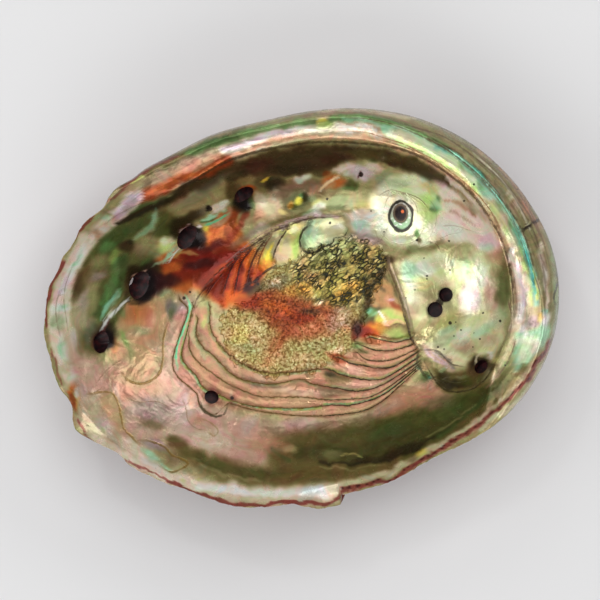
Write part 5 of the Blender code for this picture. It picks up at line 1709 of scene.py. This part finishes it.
def shape_relief(rings):
    """Add the small relief to all rings, and return their fields for the materials."""
    count = len(rings)
    angle = np.tile(360.0 * np.arange(AROUND) / AROUND, (count, 1))
    ring = np.tile(np.arange(count)[:, None], (1, AROUND))
    inside = ring <= EDGE_RING
    reach = np.hypot(rings[:, :, 0], rings[:, :, 1])
    inset = np.maximum(outline_radius(angle_of(rings[:, :, 0], rings[:, :, 1])) - reach, 0.0)
    across, down = picture_places((rings.reshape(-1, 3) + CARRIER) * MM)
    scar = outline_mask(across, down, SCAR_OUTLINE, SCAR_SOFT)
    relief = bowl_relief(across, down, scar).reshape(count, AROUND)
    shelf_part = smooth((ring - BOWL_RINGS) / 6.0)
    grooves = lattice_noise(inset, angle, 1.1, 31)
    strength = shelf_strength(angle)
    relief = relief * (1.0 - strength * shelf_part) + SHELF_GROOVES * strength * shelf_part * grooves
    relief = relief * smooth(inset / 3.5)
    rings[:, :, 2] += np.where(inside, relief, 0.0) + lip_wave(angle, inset)
    ridge = 1.0 + (GROWTH_RIDGES - 1.0) * (ring - EDGE_RING - 1.0) / (OUTSIDE_RINGS - 1.0)
    back_noise = lattice_noise(6.0 * ridge, angle * 0.8, 1.0, 41) * smooth((ridge - 1.0) / 1.5)
    rings[:, :, 2] -= np.where(inside, 0.0, GROWTH_LINE_HEIGHT * back_noise)
    rings[:, :, 2] = np.maximum(rings[:, :, 2], -CARRIER[2])
    crumble = edge_crumble(angle, inset) / np.maximum(reach, 1.0)
    rings[:, :, 0] *= 1.0 + crumble
    rings[:, :, 1] *= 1.0 + crumble
    east = STREAK_RADIUS / STREAK_STRETCH * np.cos(np.radians(angle))
    north = STREAK_RADIUS / STREAK_STRETCH * np.sin(np.radians(angle))
    depth = np.where(inside, inset, -3.0 * ridge)
    return {
        "flow": np.stack([east, north, depth], axis=-1).reshape(-1, 3),
        "rind": smooth((ring - EDGE_RING + 0.5) / 1.5).ravel(),
        "shelf": (strength * shelf_part * inside).ravel(),
        "scar": scar * inside.ravel(),
    }


class Shader:
    """Node tree of one material, built in short steps. Lengths are in millimetres."""

    def __init__(self, name):
        self.material = bpy.data.materials.new(name)
        self.material.use_nodes = True
        self.tree = self.material.node_tree
        self.surface = self.tree.nodes["Principled BSDF"]
        place = self.node("TexCoord").outputs["Object"]
        self.place = self.vector("SCALE", place, scale=1.0 / MM)

    def give(self, socket, value):
        """Link a socket to another, or set its own value."""
        if isinstance(value, bpy.types.NodeSocket):
            self.tree.links.new(value, socket)
        else:
            socket.default_value = value

    def dress(self, **values):
        """Give values to the surface, by the names of its sockets with _ for each space."""
        for name, value in values.items():
            self.give(self.surface.inputs[name.replace("_", " ")], value)

    def node(self, kind, **settings):
        node = self.tree.nodes.new("ShaderNode" + kind)
        for key, value in settings.items():
            setattr(node, key, value)
        return node

    def number(self, operation, *values):
        node = self.node("Math", operation=operation)
        for socket, value in zip(node.inputs, values):
            self.give(socket, value)
        return node.outputs[0]

    def plus(self, first, second):
        return self.number("ADD", first, second)

    def minus(self, first, second):
        return self.number("SUBTRACT", first, second)

    def times(self, first, second):
        return self.number("MULTIPLY", first, second)

    def scaled(self, value, factor, shift):
        """A value times a factor, plus a shift."""
        return self.number("MULTIPLY_ADD", value, factor, shift)

    def larger(self, first, second):
        return self.number("MAXIMUM", first, second)

    def away_from(self, value, middle):
        """Unsigned distance of a value from a middle value."""
        return self.number("ABSOLUTE", self.minus(value, middle))

    def vector(self, operation, first, second=None, scale=None):
        node = self.node("VectorMath", operation=operation)
        self.give(node.inputs[0], first)
        if second is not None:
            self.give(node.inputs[1], second)
        if scale is not None:
            self.give(node.inputs["Scale"], scale)
        return node.outputs["Value" if operation in ("LENGTH", "DISTANCE") else "Vector"]

    def read(self, name, output="Fac"):
        return self.node("Attribute", attribute_name=name).outputs[output]

    def step(self, value, low, high, start=0.0, end=1.0):
        """Smooth change from start to end as a value goes from low to high."""
        node = self.node("MapRange", interpolation_type="SMOOTHSTEP")
        sockets = ("Value", "From Min", "From Max", "To Min", "To Max")
        for key, number in zip(sockets, (value, low, high, start, end)):
            self.give(node.inputs[key], number)
        return node.outputs["Result"]

    def mix(self, first, second, cover, blend="MIX"):
        """Second colour over the first."""
        node = self.node("Mix", data_type="RGBA", blend_type=blend)
        colours = [(*value, 1.0) if isinstance(value, tuple) else value for value in (first, second)]
        self.give(node.inputs[0], cover)
        self.give(node.inputs[6], colours[0])
        self.give(node.inputs[7], colours[1])
        return node.outputs[2]

    def noise(self, size, detail=2.0, distortion=0.0, place=None, output="Fac"):
        """Noise whose blotches are about as large as size."""
        node = self.node("TexNoise")
        self.give(node.inputs["Vector"], place or self.place)
        self.give(node.inputs["Scale"], 1.0 / size)
        self.give(node.inputs["Detail"], detail)
        self.give(node.inputs["Distortion"], distortion)
        return node.outputs[output]

    def wobble(self, size, detail, reach):
        """Uneven shift of places, up to about the reach each way."""
        return self.vector("SCALE", self.noise(size, detail, output="Color"), scale=reach)

    def cells(self, size, feature, place, output):
        node = self.node("TexVoronoi", feature=feature)
        self.give(node.inputs["Vector"], place)
        self.give(node.inputs["Scale"], 1.0 / size)
        return node.outputs[output]

    def ramp(self, value, stops):
        """Colour that changes between stops, which hold a value and a colour in linear light."""
        node = self.node("ValToRGB")
        elements = node.color_ramp.elements
        while len(elements) < len(stops):
            elements.new(0.5)
        for element, (place, colour) in zip(elements, stops):
            element.position = place
            element.color = (*colour, 1.0)
        self.give(node.inputs["Fac"], value)
        return node.outputs["Color"]


def seen(*colour):
    """An 8-bit display colour as a tuple in linear light."""
    return tuple(float(value) for value in linear(colour))


def shell_place(across, down):
    """Shell place in millimetres of a pixel of the photograph, and the millimetres of a pixel there."""
    cosine = math.cos(math.radians(ROLL))
    sine = math.sin(math.radians(ROLL))
    height = RIM_PLANE
    for _ in range(6):
        scale = PIXEL * (CAMERA_HEIGHT - height) / (CAMERA_HEIGHT - RIM_PLANE)
        east = (across - 0.5 * PICTURE) * scale
        north = (0.5 * PICTURE - down) * scale
        x = CAMERA_PLACE[0] + east * cosine + north * sine
        y = CAMERA_PLACE[1] - east * sine + north * cosine
        inside = bowl_height(np.array([x - CARRIER[0]]), np.array([y - CARRIER[1]]))
        height = float(inside[0]) + CARRIER[2]
    return x, y, scale


def level_place(across, down):
    """The same place, turned so that its axes run along the photograph's, at height zero."""
    x, y, scale = shell_place(across, down)
    cosine = math.cos(math.radians(ROLL))
    sine = math.sin(math.radians(ROLL))
    return (x * cosine - y * sine, x * sine + y * cosine, 0.0), scale


def level_coordinates(shader):
    """Place over the level plane, along the photograph's axes."""
    turned = shader.node("VectorRotate", rotation_type="Z_AXIS")
    shader.give(turned.inputs["Vector"], shader.place)
    shader.give(turned.inputs["Angle"], math.radians(ROLL))
    return shader.vector("MULTIPLY", turned.outputs["Vector"], (1.0, 1.0, 0.0))


def ellipse(shader, level, centre, reach):
    """Distance from an ellipse's centre, 1 on the ellipse."""
    place, scale = level_place(*centre)
    away = shader.vector("SUBTRACT", level, place)
    size = (1.0 / (reach[0] * scale), 1.0 / (reach[1] * scale), 0.0)
    return shader.vector("LENGTH", shader.vector("MULTIPLY", away, size))


def pearl_play(shader, colour):
    """Pinks and greens of mother of pearl over the painted ground."""
    folded = shader.vector("ADD", shader.place, shader.wobble(12.0, 1.0, 9.0))
    tints = shader.ramp(
        shader.noise(9.0, 3.0, 0.6, folded),
        (
            (0.28, seen(255, 214, 226)),
            (0.40, seen(255, 250, 240)),
            (0.50, seen(232, 255, 226)),
            (0.58, seen(255, 240, 232)),
            (0.68, seen(226, 250, 250)),
            (0.78, seen(250, 228, 255)),
        ),
    )
    colour = shader.mix(colour, tints, 0.7, "MULTIPLY")
    silk = shader.noise(3.4, 3.0, 0.4, shader.vector("MULTIPLY", folded, (1.0, 1.0, 0.3)))
    shades = ((0.30, (0.30, 0.28, 0.26)), (0.5, (0.5, 0.5, 0.5)), (0.66, (0.66, 0.66, 0.68)))
    return shader.mix(colour, shader.ramp(silk, shades), 0.4, "OVERLAY")


def scar_grain(shader, level, colour, scar):
    """Plates and grains of the muscle scar, tipped with painted white sparkles: its colour and its height in
    millimetres.
    """
    place = shader.vector("ADD", level, shader.wobble(2.4, 3.0, 1.7))
    turned = shader.node("Mapping", vector_type="TEXTURE")
    shader.give(turned.inputs["Vector"], place)
    turned.inputs["Rotation"].default_value = (0.0, 0.0, math.radians(SCAR_TURN))
    turned.inputs["Scale"].default_value = CELL_SHAPE
    slanted = turned.outputs["Vector"]
    coarse = shader.step(ellipse(shader, level, SCAR_COARSE_CENTRE, SCAR_COARSE_REACH), 0.75, 1.1, 1.0, 0.0)
    tone = shader.node("SeparateColor")
    shader.give(tone.inputs[0], shader.cells(CELL_SIZE, "F1", slanted, "Color"))
    # The whitest stops of the plate and grain ramps are painted sparkles
    plates = shader.ramp(
        tone.outputs[0],
        (
            (0.10, seen(112, 118, 88)),
            (0.30, seen(166, 166, 136)),
            (0.50, seen(222, 212, 186)),
            (0.72, seen(246, 228, 204)),
            (0.84, seen(255, 255, 255)),
        ),
    )
    fine = shader.noise(GRAIN_SIZE, 2.0, 0.8, place)
    grains = shader.ramp(
        fine,
        (
            (0.30, seen(134, 108, 66)),
            (0.42, seen(182, 160, 122)),
            (0.51, seen(208, 190, 160)),
            (0.60, seen(232, 222, 204)),
            (0.68, seen(255, 255, 255)),
        ),
    )
    tint = shader.mix(grains, plates, shader.times(coarse, 0.8))
    bright = shader.vector("SCALE", colour, scale=shader.step(coarse, 0.0, 1.0, 1.6, 2.5))
    grained = shader.mix(bright, tint, 1.0, "MULTIPLY")
    worn = shader.step(shader.noise(3.4, 2.0), 0.36, 0.56, 0.35, 1.0)
    vein = shader.step(shader.away_from(shader.noise(1.7, 2.0, 0.0, slanted), 0.5), 0.0, 0.03, 0.9, 0.0)
    border = shader.cells(CELL_SIZE, "DISTANCE_TO_EDGE", slanted, "Distance")
    crack = shader.larger(shader.step(border, 0.03, 0.2, 1.0, 0.0), vein)
    crack = shader.times(crack, shader.times(coarse, worn))
    grained = shader.mix(grained, seen(28, 30, 14), crack)
    pits = shader.step(fine, 0.3, 0.45, 0.4, 0.0)
    height = shader.minus(1.0, shader.larger(crack, pits))
    return shader.mix(colour, grained, scar), shader.times(height, shader.times(scar, GRAIN_HEIGHT))


def contour_lines(shader, colour):
    """Dark layer lines with a green glow on their outer side: the colour and the line's cover."""
    field = shader.plus(shader.read("contour"), shader.scaled(shader.noise(1.4, 3.0), 0.2, -0.1))
    side = shader.minus(field, shader.number("ROUND", field))
    distance = shader.times(shader.number("ABSOLUTE", side), shader.read("contour_gap"))
    cover = shader.read("contour_cover")
    turn = shader.read("contour_turn")
    uneven = shader.noise(4.0, 2.0)
    width = shader.step(shader.noise(2.0, 2.0), 0.3, 0.7, 1.45, 0.65)
    line = shader.times(shader.step(shader.times(distance, width), 0.25, 1.15, 1.0, 0.0), cover)
    outer = shader.step(shader.times(side, turn), -0.02, 0.0, 1.0, 0.0)
    glow = shader.times(shader.step(distance, 1.2, 5.0, 1.0, 0.0), outer)
    glow = shader.times(glow, shader.step(uneven, 0.3, 0.5, 0.45, 1.0))
    glow = shader.times(glow, shader.read("contour_glow"))
    tint = shader.mix(seen(84, 190, 126), seen(146, 176, 82), shader.step(uneven, 0.42, 0.58))
    colour = shader.mix(colour, tint, shader.times(glow, 0.95))
    inner = shader.times(shader.step(distance, 0.8, 4.5, 0.6, 0.0), cover)
    colour = shader.mix(colour, seen(112, 64, 36), inner)
    ink = shader.mix(seen(46, 24, 8), seen(44, 48, 16), shader.step(uneven, 0.4, 0.6))
    ink = shader.mix(ink, seen(112, 86, 30), shader.step(turn, -1.0, 1.0, 0.0, 0.7))
    strength = shader.times(line, shader.step(shader.noise(2.4, 2.0), 0.25, 0.5, 0.65, 1.0))
    return shader.mix(colour, ink, strength), line


def drawn_lines(shader, colour, name, inner, outer):
    """One set of listed lines over a colour: the colour and the line's cover."""
    uneven = shader.noise(1.8, 2.0)
    width = shader.step(uneven, 0.25, 0.75, 0.6, 1.4)
    measure = shader.times(shader.number("ABSOLUTE", shader.read(name)), width)
    faded = shader.times(shader.read(name + "_cover"), shader.step(uneven, 0.72, 0.5, 0.6, 1.0))
    cover = shader.times(shader.step(measure, inner, outer, 1.0, 0.0), faded)
    return shader.mix(colour, shader.read(name + "_colour", "Color"), cover), cover


def specks(shader, level, colour):
    """Small dark specks over a colour."""
    place = shader.vector("ADD", level, shader.wobble(0.8, 1.0, 0.35))
    shift = Vector((0.175, 0.175, 0.0))
    nearest = None
    for across, down, radius in SPECKS:
        spot, scale = level_place(across, down)
        away = shader.vector("DISTANCE", place, tuple(Vector(spot) + shift))
        share = shader.number("DIVIDE", away, radius * scale)
        nearest = share if nearest is None else shader.number("MINIMUM", nearest, share)
    flat = shader.vector("MULTIPLY", place, (1.0, 1.0, 0.0))
    dust = shader.cells(DUST_SPACING, "F1", flat, "Distance")
    fine = shader.step(dust, 0.018, 0.04, 0.6, 0.0)
    cover = shader.larger(shader.step(nearest, 0.75, 1.25, 0.92, 0.0), fine)
    return shader.mix(colour, seen(36, 26, 22), cover)


def ringed_blister(shader, level, colour):
    """Blister that looks like an eye: a dark ring, a pale ground with painted white glints, and a dark
    middle.
    """
    uneven = shader.scaled(shader.noise(5.0, 0.0), 0.3, -0.15)
    ring = shader.plus(ellipse(shader, level, EYE_CENTRE, EYE_REACH), uneven)
    pupil = shader.plus(ellipse(shader, level, EYE_PUPIL, EYE_PUPIL_REACH), shader.times(uneven, 0.6))
    dot = ellipse(shader, level, EYE_DOT, EYE_DOT_REACH)
    split = shader.node("SeparateXYZ")
    shader.give(split.inputs[0], level)
    place, _ = level_place(*EYE_CENTRE)
    rise = shader.step(split.outputs["Y"], place[1] - 4.0, place[1] + 4.0)
    ground = shader.mix(seen(158, 196, 152), seen(206, 200, 180), rise)
    # Painted glints: white flecks on the blister's pale ground
    glints = shader.step(shader.noise(1.2, 2.0), 0.5, 0.7, 0.0, 0.9)
    ground = shader.mix(ground, seen(250, 252, 246), glints)
    ground = shader.mix(ground, seen(96, 74, 56), shader.step(ring, 0.72, 0.98, 0.0, 0.55))
    colour = shader.mix(colour, ground, shader.step(ring, 0.92, 1.0, 1.0, 0.0))
    edge = shader.times(shader.away_from(ring, 1.0), shader.step(shader.noise(2.4, 1.0), 0.3, 0.7, 0.8, 1.5))
    colour = shader.mix(colour, seen(30, 26, 18), shader.step(edge, 0.07, 0.19, 0.96, 0.0))
    colour = shader.mix(colour, seen(70, 50, 36), shader.step(pupil, 0.9, 1.1, 0.95, 0.0))
    inner_ring = shader.step(shader.away_from(pupil, 0.84), 0.0, 0.1, 0.6, 0.0)
    colour = shader.mix(colour, seen(132, 110, 84), inner_ring)
    colour = shader.mix(colour, seen(28, 14, 14), shader.step(pupil, 0.55, 0.85, 0.96, 0.0))
    return shader.mix(colour, seen(216, 106, 52), shader.step(dot, 0.6, 1.3, 0.95, 0.0))


def rind_colour(shader, flow):
    """Brick red outer layer with growth bands, pale crusts and worn patches."""
    bands = shader.noise(RIND_BANDS, 3.0, 0.4, flow)
    colour = shader.ramp(
        bands,
        (
            (0.28, seen(74, 26, 22)),
            (0.42, seen(128, 48, 38)),
            (0.52, seen(156, 76, 58)),
            (0.62, seen(112, 40, 32)),
            (0.76, seen(178, 122, 96)),
        ),
    )
    mottle = shader.noise(1.4, 4.0, 0.5)
    colour = shader.mix(colour, seen(70, 34, 28), shader.step(mottle, 0.45, 0.7, 0.0, 0.6))
    crust = shader.step(shader.noise(9.0, 5.0, 0.8), 0.54, 0.66)
    pale = shader.mix(seen(186, 172, 150), seen(132, 128, 100), shader.noise(3.0, 3.0))
    colour = shader.mix(colour, pale, shader.times(crust, 0.8))
    elsewhere = shader.vector("ADD", shader.place, (40.0, 7.0, 0.0))
    algae = shader.step(shader.noise(9.0, 4.0, 0.6, elsewhere), 0.56, 0.68)
    return shader.mix(colour, seen(84, 92, 56), shader.times(algae, 0.55)), bands, crust


def nacre_material():
    """Mother of pearl inside, with its lines, scar and specks, and the rough red layer outside."""
    shader = Shader("nacre")
    flow = shader.read("flow", "Vector")
    level = level_coordinates(shader)
    colour = pearl_play(shader, shader.read("paint", "Color"))
    streaks = shader.step(
        shader.noise(STREAK_SIZE, 3.0, 0.3, flow), 0.3, 0.72, 1.0 - STREAK_CONTRAST, 1.0 + STREAK_CONTRAST
    )
    weight = shader.step(shader.read("shelf"), 0.0, 1.0, 0.35, 1.0)
    grey = shader.node("CombineXYZ")
    for socket in grey.inputs:
        shader.give(socket, streaks)
    colour = shader.mix(colour, grey.outputs[0], weight, "MULTIPLY")
    # Thin bright lines, the white and pale ones painted highlights
    colour, _ = drawn_lines(shader, colour, "gleam", 0.0, 2.2)
    colour, contour = contour_lines(shader, colour)
    scar_field = shader.read("scar")
    ragged = shader.scaled(shader.noise(2.6, 4.0, 0.4), 2.2, -1.1)
    scar = shader.step(shader.plus(scar_field, ragged), 0.35, 0.6)
    scar = shader.times(scar, shader.step(scar_field, 0.02, 0.25))
    colour, grain = scar_grain(shader, level, colour, scar)
    colour, seam = drawn_lines(shader, colour, "seam", 0.4, 1.5)
    rind_field = shader.read("rind")
    inside = shader.step(rind_field, 0.0, 0.2, 1.0, 0.0)
    colour = shader.mix(colour, specks(shader, level, colour), inside)
    colour = shader.mix(colour, ringed_blister(shader, level, colour), inside)
    outer, bands, crust = rind_colour(shader, flow)
    ragged = shader.plus(rind_field, shader.scaled(shader.noise(1.8, 2.0), 0.36, -0.18))
    rind = shader.times(shader.step(ragged, 0.4, 0.6), shader.step(rind_field, 0.0, 0.25))
    gloss = shader.step(shader.noise(4.0, 2.0), 0.3, 0.7, 0.15, 0.3)
    gloss = shader.plus(gloss, shader.times(scar, 0.16))
    sheen = shader.times(shader.scaled(scar, -0.5, 1.0), shader.minus(1.0, rind))
    smooth_part = shader.minus(1.0, shader.larger(scar, rind))
    folds = shader.times(shader.noise(FOLD_SIZE, 2.0, 0.6), shader.times(smooth_part, FOLD_HEIGHT))
    height = shader.scaled(shader.noise(RIPPLE_SIZE, 1.0), RIPPLE_HEIGHT, shader.plus(grain, folds))
    height = shader.scaled(shader.times(streaks, weight), STREAK_HEIGHT, height)
    grooves = shader.larger(contour, shader.number("POWER", seam, 2.0))
    height = shader.scaled(grooves, -GROOVE_DEPTH, height)
    rough = shader.plus(shader.times(bands, 1.2), shader.times(crust, 0.3))
    height = shader.scaled(rough, shader.times(rind, RIND_HEIGHT), height)
    bump = shader.node("Bump")
    bump.inputs["Distance"].default_value = MM
    shader.give(bump.inputs["Height"], height)
    shader.dress(
        Base_Color=shader.mix(colour, outer, rind),
        Roughness=shader.larger(gloss, shader.times(rind, RIND_ROUGHNESS)),
        Specular_IOR_Level=GLOSS_LEVEL,
        Metallic=shader.times(sheen, PEARL_SHEEN),
        Normal=bump.outputs["Normal"],
    )
    return shader.material


def pore_material():
    """Walls of the pores and borings in their own dark wine red, kept near black in part as painted shade of
    the deep holes.
    """
    shader = Shader("pore_wall")
    wine = ((0.3, seen(14, 6, 8)), (0.5, seen(36, 12, 16)), (0.7, seen(66, 22, 22)))
    colour = shader.ramp(shader.noise(1.6, 3.0), wine)
    shader.dress(Base_Color=colour, Roughness=PORE_ROUGHNESS, Specular_IOR_Level=PORE_GLOSS)
    return shader.material


def vivid(colour):
    """Deeper shades and stronger hues of 8-bit display colours."""
    colour = np.asarray(colour, float)
    grey = colour.mean(axis=-1, keepdims=True) / 255.0
    lift = 1.0 + CONTRAST * (1.0 - grey) * (2.0 * grey - 1.0)
    return np.clip(colour * lift, 0.0, 255.0)


def point_fields(points, fields):
    """Colours and line fields of all points of the skin."""
    across, down = picture_places(points)
    inside = fields["rind"] < 0.5
    paint = Paint(across, down, KHAKI)
    paint_ground(paint)
    fields["paint"] = linear(vivid(paint.colour))
    for name, lines in (("seam", SEAMS), ("gleam", GLEAMS)):
        measure, cover, colour = line_field(across, down, lines)
        fields[name] = measure
        fields[name + "_cover"] = cover * inside
        fields[name + "_colour"] = linear(colour)
    field, gap, cover, glow = contour_field(across, down)
    turn_share = (across - CONTOUR_TURN[0]) / (CONTOUR_TURN[1] - CONTOUR_TURN[0])
    fields["contour"] = field
    fields["contour_gap"] = gap
    fields["contour_turn"] = 1.0 - 2.0 * smooth(turn_share)
    fields["contour_cover"] = cover * inside
    fields["contour_glow"] = glow * inside
    return fields


def mesh_points(mesh):
    points = np.zeros(len(mesh.vertices) * 3, np.float32)
    mesh.vertices.foreach_get("co", points)
    return points.reshape(-1, 3).astype(float)


def store_fields(mesh, points, fields):
    """Give each point of the mesh the fields of the nearest of the given points."""
    tree = KDTree(len(points))
    for index, point in enumerate(points):
        tree.insert(point, index)
    tree.balance()
    nearest = np.array([tree.find(vertex.co)[1] for vertex in mesh.vertices])
    for name, values in fields.items():
        values = values[nearest]
        kind = "FLOAT"
        key = "value"
        if name in COLOUR_FIELDS:
            kind = "FLOAT_COLOR"
            key = "color"
            values = np.column_stack([values, np.ones(len(values))])
        elif values.ndim == 2:
            kind = "FLOAT_VECTOR"
            key = "vector"
        attribute = mesh.attributes.new(name, kind, "POINT")
        attribute.data.foreach_set(key, values.astype(np.float32).ravel())


def build_shell():
    """The whole shell as one fine mesh with its holes, fields and materials."""
    rings = section_rings()
    fields = shape_relief(rings)
    mesh = build_skin(rings)
    for name, values in fields.items():
        fields[name] = np.concatenate([values[:1], values, values[-1:]])
    points = mesh_points(mesh)
    fields = point_fields(points, fields)
    shell = bpy.data.objects.new("shell_nacre", mesh)
    bpy.context.scene.collection.objects.link(shell)
    mesh.materials.append(nacre_material())
    mesh.materials.append(pore_material())
    drill_holes(shell)
    store_fields(shell.data, points, fields)
    for polygon in shell.data.polygons:
        polygon.use_smooth = True
    shell.data.set_sharp_from_angle(angle=math.radians(SHARP_ANGLE))
    return shell


def main():
    """Set up the studio and put the dressed shell in place of the solid."""
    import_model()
    bpy.context.scene.view_settings.view_transform = "Standard"
    make_camera()
    make_floor()
    make_world(WORLD_LIGHT)
    for lamp in LAMPS:
        make_light(*lamp)
    shell = build_shell()
    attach(shell, "root")
    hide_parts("shell")


main()
